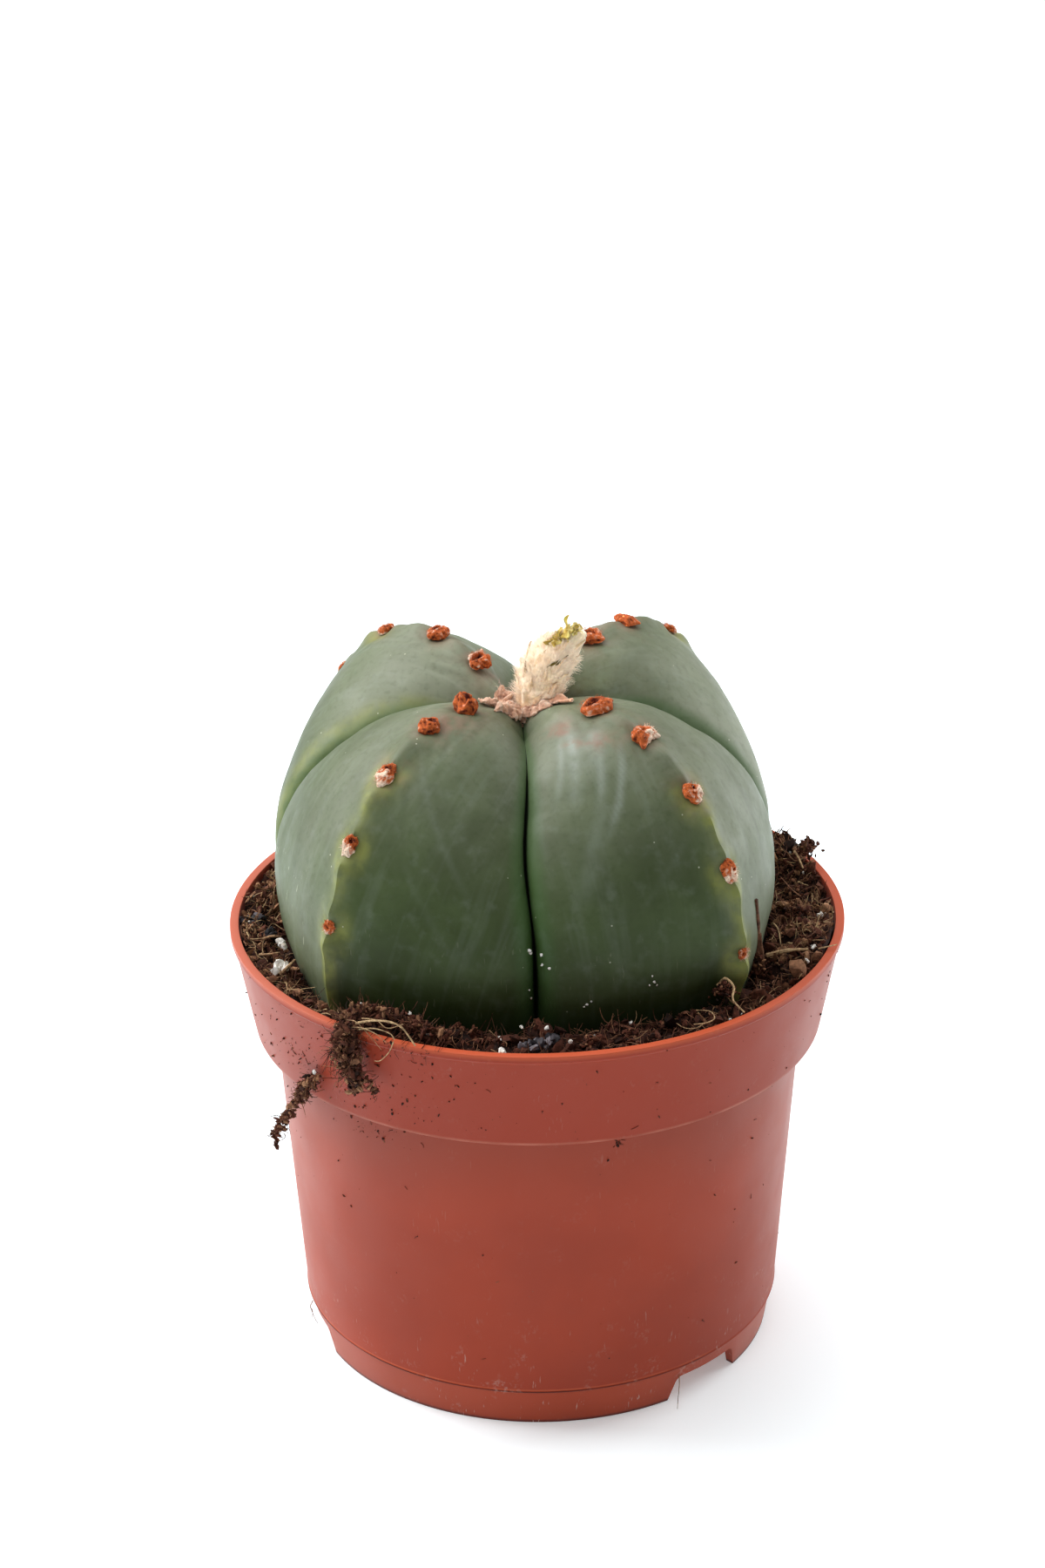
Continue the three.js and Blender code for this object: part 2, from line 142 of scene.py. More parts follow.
def add_node(tree: bpy.types.NodeTree, kind: str, settings: dict[str, Any] | None = None,
             **links: Any) -> bpy.types.Node:
    """Adds a shader node with its settings and links.

    Args:
        tree: the material's node tree.
        kind: the node's type without its ShaderNode prefix.
        settings: values of the node's own properties.
        links: an input, by name with _ for a space or by number as i0, and its value or its socket.

    Returns:
        The new node.
    """
    made = tree.nodes.new("ShaderNode" + kind)
    for name, value in (settings or {}).items():
        setattr(made, name, value)
    for name, value in links.items():
        key = int(name[1:]) if name[0] == "i" and name[1:].isdigit() else name.replace("_", " ")
        if isinstance(value, Socket):
            tree.links.new(value, made.inputs[key])
        else:
            made.inputs[key].default_value = value
    return made


class Blend(Enum):
    """How one colour goes over another."""

    MIX = "MIX"
    MULTIPLY = "MULTIPLY"


class Finish:
    """A material under construction: a Principled shader and short ways to feed it."""

    def __init__(self, name: str, roughness: float, specular: float = 0.5) -> None:
        """Starts the material.

        Args:
            name: the material's name.
            roughness: the shader's roughness where nothing drives it.
            specular: the shader's specular level.
        """
        self.material = bpy.data.materials.new(name)
        self.material.use_nodes = True
        self.tree = self.material.node_tree
        self.shader = self.tree.nodes["Principled BSDF"]
        self.set(Roughness=roughness, Specular_IOR_Level=specular)
        self.place = add_node(self.tree, "TexCoord").outputs["Object"]

    def set(self, **values: Any) -> None:
        """Sets the shader's own sockets, by name with _ for a space."""
        for name, value in values.items():
            self.shader.inputs[name.replace("_", " ")].default_value = value

    def attribute(self, name: str) -> Socket:
        """The socket of a mesh attribute."""
        return add_node(self.tree, "Attribute", {"attribute_name": name}).outputs["Fac"]

    def noise(self, millimetres: float, detail: float = 3, vector: Any = None,
              distortion: float = 0) -> Socket:
        """Noise whose bumps are some millimetres wide, on the object's own place or another vector."""
        return add_node(self.tree, "TexNoise", Vector=vector or self.place, Detail=detail,
                        Scale=1 / (millimetres * MM), Distortion=distortion).outputs["Fac"]

    def ramp(self, value: Socket, low: float, high: float,
             to: Pair = (0, 1)) -> Socket:
        """A value mapped from low..high to the two ends of a new range, and kept inside it."""
        made = add_node(self.tree, "MapRange", {"interpolation_type": "SMOOTHSTEP"},
                        Value=value, From_Min=low, From_Max=high, To_Min=to[0], To_Max=to[1])
        return made.outputs["Result"]

    def patches(self, millimetres: float, detail: float, low: float, high: float,
                to: Pair = (0, 1), **noise: Any) -> Socket:
        """Noise mapped from low..high to the two ends of a new range."""
        return self.ramp(self.noise(millimetres, detail, **noise), low, high, to)

    def times(self, product: Socket, *others: Any) -> Socket:
        """The product of a socket and of sockets or numbers."""
        for other in others:
            product = add_node(self.tree, "Math", {"operation": "MULTIPLY"},
                               i0=product, i1=other).outputs[0]
        return product

    def band(self, value: Socket, low: float, high: float, soft: float) -> Socket:
        """1 where a value lies between two limits and 0 outside, changing over a soft width."""
        return self.times(self.ramp(value, low - soft, low + soft),
                          self.ramp(value, high + soft, high - soft))

    def squeezed(self, turn: Triple, along: float) -> Socket:
        """The object's place, turned and drawn out so that noise on it makes streaks."""
        return add_node(self.tree, "Mapping", Vector=self.place, Rotation=turn,
                        Scale=(1.0, 1.0, along)).outputs[0]

    def mix(self, factor: Any, a: Any, b: Any, how: Blend = Blend.MIX) -> Socket:
        """One colour over another.

        Args:
            factor: how much of the second shows, a socket or a number.
            a: the first colour, a socket or a hex string.
            b: the second colour, a socket or a hex string.
            how: the way of blending.

        Returns:
            The blended colour's socket.
        """
        made = add_node(self.tree, "Mix", {"data_type": "RGBA", "blend_type": how.value}, i0=factor)
        for socket, colour in ((6, a), (7, b)):
            if isinstance(colour, str):
                made.inputs[socket].default_value = linear(colour)
            else:
                self.tree.links.new(colour, made.inputs[socket])
        return made.outputs[2]

    def colour(self, socket: Socket) -> None:
        """Links the base colour."""
        self.tree.links.new(socket, self.shader.inputs["Base Color"])

    def roughness(self, socket: Socket) -> None:
        """Links the roughness."""
        self.tree.links.new(socket, self.shader.inputs["Roughness"])

    def bump(self, height: Socket, millimetres: float, strength: float = 1.0) -> None:
        """Links a bump that stands some millimetres high."""
        made = add_node(self.tree, "Bump", Height=height, Distance=millimetres * MM, Strength=strength)
        self.tree.links.new(made.outputs[0], self.shader.inputs["Normal"])


@dataclass(frozen=True)
class PotPlastic:
    """Injection-moulded polypropylene in terracotta: waxy satin, dusty, paler where it is scuffed."""

    base: str = "9b3416"
    deep: str = "923014"
    clean: str = "902c10"
    # Greyer, darker red: dust, and painted shade under the collar's ledge
    dust_and_painted_shade: str = "812f18"
    # Pale painted highlight along the collar's lower edge
    edge: str = "b86a55"
    # Orange of the thin rim's top, also used for the painted highlight on the parting line's lip
    lip: str = "b44c2b"
    # Pale dust, also used for a painted highlight on the rim's left
    dust_and_highlight: str = "b9978b"
    # Dark red-brown, painted as shade in the parting line's groove and under the foot
    soil_film: str = "6b4234"
    painted_shade: str = "4e170b"
    # Heights on the pot in metres, as where a colour starts and where it is full
    dust_and_painted_shade_at: Pair = (0.040, 0.0585)
    edge_highlight_at: Pair = (0.0588, 0.0591)
    collar_at: Pair = (0.0592, 0.0597)
    rim_at: Pair = (0.0762, 0.0771)
    foot_ring_at: Pair = (0.0070, 0.0064)
    foot_shadow_at: Pair = (0.0008, 0.0003)
    # The parting line's groove, painted dark as shade, lies between the first two heights, and its lip,
    # which carries a painted highlight, lies between the third and the lip's top
    line_at: Triple = (0.0069, 0.00715, 0.00720)
    lip_highlight_top: float = 0.0075
    line_soft: float = 0.00005
    # Where across the pot the left rim grows paler, with dust and a painted highlight, and where the
    # parting line dies out
    paler_left: Pair = (-0.026, -0.042)
    line_ends: Pair = (0.031, 0.025)

    def make(self) -> Look:
        """Builds the material."""
        f = Finish("moulded_polypropylene", 0.42, 0.24)
        # A film of dust makes it paler where it turns away
        f.set(Sheen_Weight=0.1, Sheen_Roughness=0.4, Sheen_Tint=linear("ffe4d8"))
        split = add_node(f.tree, "SeparateXYZ", Vector=f.place).outputs
        height = split["Z"]
        cloud = f.mix(f.patches(22, 3, 0.35, 0.7), self.base, self.deep)
        # Under the collar the wall is greyer with dust and darker with painted shade from the ledge;
        # the collar is handled and cleaner, and its lower edge carries a pale painted highlight
        cloud = f.mix(f.ramp(height, *self.dust_and_painted_shade_at, (0.0, 0.6)), cloud, self.dust_and_painted_shade)
        highlight_patches = f.patches(7, 3, 0.3, 0.7, (0.1, 0.55))
        cloud = f.mix(f.times(f.ramp(height, *self.edge_highlight_at), highlight_patches), cloud, self.edge)
        cloud = f.mix(f.ramp(height, *self.collar_at), cloud, self.clean)
        # The thin rim lets light through, so its top is more orange; towards the left it is paler,
        # partly with dust and partly with a painted highlight where the left light strikes it
        rim_colour = f.mix(f.ramp(split["X"], *self.paler_left, (0.0, 0.12)), self.lip, self.dust_and_highlight)
        cloud = f.mix(f.ramp(height, *self.rim_at), cloud, rim_colour)
        cloud = f.mix(f.ramp(height, *self.foot_ring_at, (0.0, 0.3)), cloud, self.lip)
        # The mould's parting line is a fine groove, painted dark as shade, with a painted highlight on
        # its lip, and dies out at the right
        line = f.times(f.ramp(split["X"], *self.line_ends), f.patches(9, 3, 0.3, 0.55, (0.35, 0.9)))
        low, middle, high = self.line_at
        painted_shade = f.band(height, low, middle, self.line_soft)
        cloud = f.mix(f.times(painted_shade, line), cloud, self.painted_shade)
        above = f.band(height, high, self.lip_highlight_top, self.line_soft)
        cloud = f.mix(f.times(above, line), cloud, self.lip)
        # Its very foot is painted dark, as the contact shadow where it stands on the floor
        cloud = f.mix(f.ramp(height, *self.foot_shadow_at, (0.0, 0.8)), cloud, self.painted_shade)
        # Pale dust lies in soft patches, thickest near the foot
        near_foot = f.ramp(height, 0.03, 0.0, (0.12, 1.0))
        patches = f.times(f.patches(5, 6, 0.54, 0.72), f.patches(0.7, 3, 0.5, 0.66), near_foot)
        dusty = f.mix(f.times(patches, 0.4), cloud, self.dust_and_highlight)
        # Scuffs: thin bright scratches, drawn 0.2 mm wide so that they show
        scratch = f.patches(0.35, 2, 0.64, 0.71, vector=f.squeezed((0.5, 0.3, 0.9), 0.12))
        scratches = f.times(scratch, f.patches(6, 3, 0.54, 0.66), near_foot, 0.8)
        scuffed = f.mix(scratches, dusty, self.dust_and_highlight)
        # Peat dust: specks about 0.3 mm across
        specks = f.times(f.patches(0.45, 1, 0.755, 0.80), f.patches(14, 2, 0.45, 0.65), 0.75)
        f.colour(f.mix(specks, scuffed, self.soil_film))
        f.roughness(f.patches(9, 3, 0.3, 0.75, (0.42, 0.50)))
        f.bump(f.noise(0.6, 3), 0.005, 0.5)
        return f.material


@dataclass(frozen=True)
class CactusSkin:
    """A thick waxy cuticle: matt blue-green bloom over deep green, yellower on the sharp crests."""

    deep: str = "2f3c15"
    mid: str = "404f29"
    bloom_and_shade: str = "868b76"
    crest: str = "868a44"
    furrow: str = "3f6030"
    # Near-black, painted as shade in the furrows' slits and low on the front flanks
    slot: str = "0c1206"
    blush: str = "8a5a4a"
    wax: str = "a9b3ac"
    scurf: str = "c4c4ae"

    def make(self) -> Look:
        """Builds the material."""
        f = Finish("waxy_cuticle", 0.5, 0.28)
        across = f.attribute("across")
        fan = add_node(f.tree, "CombineXYZ", X=f.times(f.attribute("fan"), 0.001),
                       Y=f.times(f.attribute("down"), 0.00008)).outputs[0]
        base = f.mix(f.patches(13, 4, 0.32, 0.68, distortion=0.4), self.deep, self.mid)
        # The grey bloom, in clouds 8 mm across: partly real bloom and partly painted shade, thin on the
        # front flanks that face away from the lights and low down
        thick = f.times(f.attribute("bloom_and_shade"), f.patches(8, 4, 0.25, 0.7, (0.72, 1.0)))
        skin = f.mix(thick, base, self.bloom_and_shade)
        # Faint ribbons fan down the flanks, 1 to 2 mm wide
        skin = f.mix(f.times(f.patches(2.0, 2, 0.5, 0.72, vector=fan), 0.05), skin, self.wax)
        skin = f.mix(f.times(f.patches(3.4, 2, 0.5, 0.3, vector=fan), 0.12), skin, self.deep)
        # Old cuticle is mottled a millimetre or two across, darker and paler
        skin = f.mix(f.patches(1.1, 6, 0.45, 0.75, (0.0, 0.24)), skin, self.deep)
        skin = f.mix(f.patches(2.6, 6, 0.5, 0.8, (0.0, 0.08)), skin, self.wax)
        waxed = f.times(f.attribute("wax"), f.patches(3, 4, 0.25, 0.6, (0.2, 0.5)))
        skin = f.mix(waxed, skin, self.wax)
        # It is greener towards a furrow, and the slit itself is painted near-black, as the shade deep
        # in the crease
        skin = f.mix(f.times(f.ramp(across, 0.86, 0.96), 0.5), skin, self.furrow)
        skin = f.mix(f.ramp(across, 0.984, 0.995), skin, self.slot)
        # Where it goes down into the mix, the bare front flanks are painted near-black, as the contact
        # shadow there
        low_flank_shadow = f.times(f.ramp(f.attribute("down"), 66, 80, (0.0, 0.6)), f.ramp(thick, 0.3, 0.05))
        skin = f.mix(low_flank_shadow, skin, self.slot)
        edge = f.times(f.attribute("edge"), f.patches(2.5, 3, 0.3, 0.65, (0.35, 0.9)))
        skin = f.mix(edge, skin, self.crest)
        flushed = f.times(f.attribute("blush"), f.patches(2.6, 5, 0.32, 0.62), 0.55)
        skin = f.mix(flushed, skin, self.blush)
        # Scurf: pale points 0.3 mm across, a few to a square centimetre
        points = add_node(f.tree, "TexVoronoi", Vector=f.place, Scale=1 / (2.4 * MM))
        chance = add_node(f.tree, "SeparateColor", Color=points.outputs["Color"]).outputs[0]
        dot = f.ramp(points.outputs["Distance"], 0.075, 0.045)
        skin = f.mix(f.times(dot, f.ramp(chance, 0.72, 0.74), 0.6), skin, self.scurf)
        # Fine pale scars, 0.2 mm wide, where grit has rubbed the low flanks
        scar = f.patches(0.55, 2, 0.68, 0.74, vector=f.squeezed((0.2, 0.5, 0.4), 0.14))
        f.colour(f.mix(f.times(scar, f.attribute("scar"), 0.7), skin, self.scurf))
        f.roughness(f.patches(6, 4, 0.3, 0.7, (0.44, 0.58)))
        f.bump(f.mix(0.35, f.noise(0.8, 5), f.noise(3.2, 2, fan)), 0.05, 0.45)
        f.set(Subsurface_Weight=0.06, Subsurface_Radius=(0.4, 0.9, 0.3), Subsurface_Scale=0.0012)
        return f.material


@dataclass(frozen=True)
class Fibrous:
    """A dry matted stuff, such as wool or peat, whose colour runs between three by an attribute."""

    name: str
    dark: str
    middle: str
    pale: str
    grain: float = 0.6
    relief: float = 0.12
    roughness: float = 0.9
    glow_through: float = 0.0
    sheen: float = 0.0
    shade: str = "a4a4a4"

    def make(self) -> Look:
        """Builds the material."""
        f = Finish(self.name, self.roughness, 0.2)
        f.set(Sheen_Weight=self.sheen, Sheen_Roughness=0.5, Sheen_Tint=linear("fff2e2"))
        # Wool scatters light on through its hairs, about 2 mm deep
        f.set(Subsurface_Weight=self.glow_through, Subsurface_Radius=(1.0, 0.86, 0.7),
              Subsurface_Scale=0.002)
        tint = f.attribute("tint")
        low = f.mix(f.ramp(tint, 0.0, 0.5), self.dark, self.middle)
        full = f.mix(f.ramp(tint, 0.5, 1.0), low, self.pale)
        shade = f.mix(f.patches(self.grain, 4, 0.25, 0.75), self.shade, "ffffff")
        f.colour(f.mix(1.0, full, shade, Blend.MULTIPLY))
        f.bump(f.noise(self.grain, 4), self.relief, 0.8)
        return f.material


@dataclass(frozen=True)
class Perlite:
    """Expanded volcanic glass: chalk-white, crumbly and matt."""

    base: str = "e9e6e0"
    stain: str = "b9a893"

    def make(self) -> Look:
        """Builds the material."""
        f = Finish("perlite", 0.85, 0.3)
        f.colour(f.mix(f.patches(1.1, 4, 0.45, 0.75), self.base, self.stain))
        f.bump(f.noise(0.5, 4), 0.1, 0.8)
        return f.material


@dataclass(frozen=True)
class Floor:
    """Matt white studio floor, a lit table that softens the shadow."""

    base: str = "e6f0f4"
    pale: str = "e9f3f6"
    glow: float = 0.27

    def make(self) -> Look:
        """Builds the material."""
        f = Finish("studio_floor", 0.9, 0.1)
        f.colour(f.mix(f.patches(90, 3, 0.3, 0.7), self.base, self.pale))
        f.set(Emission_Color=linear("ffffff"), Emission_Strength=self.glow)
        return f.material


class Tool:
    """Short ways round Blender's operators."""

    @staticmethod
    def nothing() -> None:
        """Deselects every object."""
        bpy.ops.object.select_all(action="DESELECT")

    @staticmethod
    def only(piece: Piece) -> None:
        """Selects one object and makes it active."""
        Tool.nothing()
        piece.select_set(True)
        bpy.context.view_layer.objects.active = piece

    @staticmethod
    def apply(piece: Piece, kind: str, **settings: Any) -> None:
        """Adds a modifier and applies it.

        Args:
            piece: the object.
            kind: the modifier's type.
            settings: values of the modifier's properties.
        """
        Tool.only(piece)
        modifier = piece.modifiers.new(kind.lower(), kind)
        for name, value in settings.items():
            setattr(modifier, name, value)
        bpy.ops.object.modifier_apply(modifier=modifier.name)

    @staticmethod
    def cut(piece: Piece, cutter: Piece) -> None:
        """Cuts one object with another and removes the cutter."""
        Tool.apply(piece, "BOOLEAN", object=cutter, operation="DIFFERENCE", solver="EXACT")
        bpy.data.objects.remove(cutter, do_unlink=True)

    @staticmethod
    def settle(piece: Piece) -> None:
        """Puts the object's place into its mesh."""
        Tool.only(piece)
        bpy.ops.object.transform_apply(location=True, rotation=True, scale=True)

    @staticmethod
    def ball(segments: int, rings: int) -> Piece:
        """A unit ball with its poles on the Z axis."""
        Tool.nothing()
        bpy.ops.mesh.primitive_uv_sphere_add(segments=segments, ring_count=rings, radius=1)
        return bpy.context.object

    @staticmethod
    def chunk(detail: int) -> tuple[Array, Array]:
        """The points and triangles of a unit ball of triangles.

        Args:
            detail: 1 gives 20 faces and 2 gives 80.

        Returns:
            Its points and its faces.
        """
        Tool.nothing()
        bpy.ops.mesh.primitive_ico_sphere_add(subdivisions=detail, radius=1)
        made = bpy.context.object
        points = Tool.points(made)
        faces = np.array([tuple(p.vertices) for p in made.data.polygons])
        bpy.data.objects.remove(made, do_unlink=True)
        return points, faces

    @staticmethod
    def points(piece: Piece) -> Array:
        """The places of a mesh's points."""
        places = np.empty(len(piece.data.vertices) * 3)
        piece.data.vertices.foreach_get("co", places)
        return places.reshape(-1, 3)

    @staticmethod
    def tilt(ball: Array) -> Array:
        """How far a unit ball's points are from its top, in radians."""
        return np.arccos(np.clip(ball[:, 2], -1, 1))

    @staticmethod
    def grid(ball: Array, rows: int) -> tuple[Array, Array]:
        """The azimuths in degrees of a unit ball's points, and their rows from the top."""
        azimuth = np.degrees(np.arctan2(ball[:, 1], ball[:, 0])) % 360
        return azimuth, np.round(np.degrees(Tool.tilt(ball)) / 180 * rows)

    @staticmethod
    def shape(piece: Piece, places: Array) -> None:
        """Moves a mesh's points to places given in millimetres."""
        piece.data.vertices.foreach_set("co", (places * MM).astype(np.float32).ravel())
        piece.data.update()

    @staticmethod
    def paint(piece: Piece, name: str, values: Array) -> None:
        """Writes a number to each point as an attribute."""
        layer = piece.data.attributes.new(name, "FLOAT", "POINT")
        layer.data.foreach_set("value", np.asarray(values, np.float32))

    @staticmethod
    def mesh(name: str, places: Array, faces: list[Any], tint: Array) -> Piece:
        """Makes one object of many copies.

        Args:
            name: the object's name.
            places: points in millimetres.
            faces: the faces, as rows of point numbers.
            tint: one number a point, for the material.

        Returns:
            The new object.
        """
        data = bpy.data.meshes.new(name)
        data.from_pydata((places * MM).tolist(), [], faces)
        data.update()
        piece = into_scene(name, data)
        Tool.paint(piece, "tint", tint)
        return piece

    @staticmethod
    def finish(piece: Piece, name: str, look: Look, slot: str,
               *nodes: str) -> Piece:
        """Names and dresses a piece, and ties it to the frame.

        Args:
            piece: the object.
            name: its name.
            look: its material.
            slot: the record's material slot; not used.
            nodes: the solids that it stands for.

        Returns:
            The piece.
        """
        piece.name = name
        piece.data.name = name
        piece.data.materials.clear()
        piece.data.materials.append(look)
        Tool.only(piece)
        bpy.ops.object.shade_smooth_by_angle(angle=math.radians(SHARP))
        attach(piece, BODY)
        if nodes:
            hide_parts(*nodes)
        log.info("%s: %d faces", name, len(piece.data.polygons))
        return piece


class Heap:
    """A growing set of copies that ends as one mesh."""

    def __init__(self, seed: int) -> None:
        """Starts empty.

        Args:
            seed: fixes every random draw.
        """
        self.draw = Draws(seed)
        self.places: list[Array] = []
        self.faces: list[list[int]] = []
        self.tints: list[Array] = []
        self.count = 0

    def add(self, places: Array, faces: Array, tint: Array) -> None:
        """Adds copies that all have the same faces.

        Args:
            places: copies by points by 3.
            faces: the faces of one copy.
            tint: copies by points, or copies by 1.
        """
        copies, points = places.shape[:2]
        steps = self.count + points * np.arange(copies)
        rows = (faces[None] + steps[:, None, None]).reshape(-1, faces.shape[1])
        self.faces.extend(rows.tolist())
        self.places.append(places.reshape(-1, 3))
        self.tints.append(np.broadcast_to(tint, (copies, points)).ravel())
        self.count += copies * points

    def turns(self, count: int) -> Array:
        """Random rotations, one to a copy."""
        w, x, y, z = normed(self.draw.normal(size=(count, 4))).T
        return np.stack([
            np.stack([1 - 2 * (y * y + z * z), 2 * (x * y - w * z), 2 * (x * z + w * y)], -1),
            np.stack([2 * (x * y + w * z), 1 - 2 * (x * x + z * z), 2 * (y * z - w * x)], -1),
            np.stack([2 * (x * z - w * y), 2 * (y * z + w * x), 1 - 2 * (x * x + y * y)], -1),
        ], 1)

    def crumbs(self, centres: Array, sizes: Array, squash: Triple,
               tint: Array, detail: int = 1) -> None:
        """Adds rough lumps.

        Args:
            centres: their places.
            sizes: their radii.
            squash: their proportions before they are turned.
            tint: one number a lump.
            detail: 1 for 20 faces and 2 for 80.
        """
        points, faces = Tool.chunk(detail)
        copies = len(centres)
        bumps = 1 + self.draw.uniform(-0.28, 0.28, (copies, len(points), 1))
        stretch = np.array(squash) * self.draw.uniform(0.75, 1.25, (copies, 1, 3))
        local = points[None] * bumps * stretch * sizes[:, None, None]
        local = np.einsum("cij,cpj->cpi", self.turns(copies), local)
        self.add(local + centres[:, None], faces, tint[:, None])

    def strands(self, paths: Array, radii: Array, tint: Array, sides: int = 3) -> None:
        """Adds thin tubes that taper along their paths.

        Args:
            paths: strands by points by 3.
            radii: strands by points.
            tint: strands by points, or strands by 1.
            sides: how many sides a tube has.
        """
        count, steps = paths.shape[:2]
        along = normed(np.gradient(paths, axis=1), 1e-9)
        u = normed(np.cross(along, self.draw.normal(size=(count, 1, 3))), 1e-9)
        v = np.cross(along, u)
        angles = 2 * math.pi * np.arange(sides) / sides
        ring = (np.cos(angles)[None, None, :, None] * u[:, :, None]
                + np.sin(angles)[None, None, :, None] * v[:, :, None])
        places = paths[:, :, None] + ring * radii[:, :, None, None]
        a = np.arange((steps - 1) * sides)
        b = a - a % sides + (a + 1) % sides
        shades = np.repeat(np.broadcast_to(tint, (count, steps)), sides, axis=1)
        first = self.count + steps * sides * np.arange(count)[:, None]
        self.add(places.reshape(count, -1, 3), np.stack([a, b, b + sides, a + sides], -1), shades)
        for end in (np.arange(sides)[::-1], np.arange((steps - 1) * sides, steps * sides)):
            self.faces.extend((end + first).tolist())

    def sheet(self, front: Array, back: Array, faces: Array, tints: Array) -> None:
        """Adds a closed sheet with the faces that plate gives, tinted front points first."""
        places = np.concatenate([front.reshape(-1, 3), back.reshape(-1, 3)])
        self.add(places[None], faces, tints[None])

    @staticmethod
    def plate(rows: int, wide: int) -> Array:
        """The faces of a closed plate that has a front grid and a back grid.

        Args:
            rows: how many rows of points a grid has.
            wide: how many points a row has.

        Returns:
            The faces, as rows of point numbers.
        """
        half = rows * wide
        spots = np.arange(half).reshape(rows, wide)
        corner = spots[:-1, :-1].reshape(-1, 1)
        front = corner + (0, 1, 1 + wide, wide)
        back = corner + half + (0, wide, 1 + wide, 1)
        ring = np.concatenate([spots[0], spots[1:, -1], spots[-1, -2::-1], spots[-2:0:-1, 0]])
        after = np.roll(ring, -1)
        rim = np.stack([ring, ring + half, after + half, after], -1)
        return np.vstack([np.stack([front, back], 1).reshape(-1, 4), rim])

    def object(self, name: str) -> Piece:
        """The heap as one object."""
        return Tool.mesh(name, np.concatenate(self.places), self.faces, np.concatenate(self.tints))


def wander(draw: Draws, start: Array, heading: Array, length: Array, steps: int,
           curl: float) -> Array:
    """Paths that start at places and bend at random.

    Args:
        draw: the random numbers.
        start: where they start, one to a row.
        heading: the way that each sets out.
        length: the length of each.
        steps: how many points a path has.
        curl: how much it bends at each step.

    Returns:
        The paths, strands by points by 3.
    """
    way = normed(heading)
    bend = draw.normal(size=start.shape) * curl
    paths = [start]
    for _ in range(steps - 1):
        bend = bend + draw.normal(size=start.shape) * curl * 0.5
        way = normed(way + bend)
        paths.append(paths[-1] + way * (length / (steps - 1))[:, None])
    return np.stack(paths, axis=1)


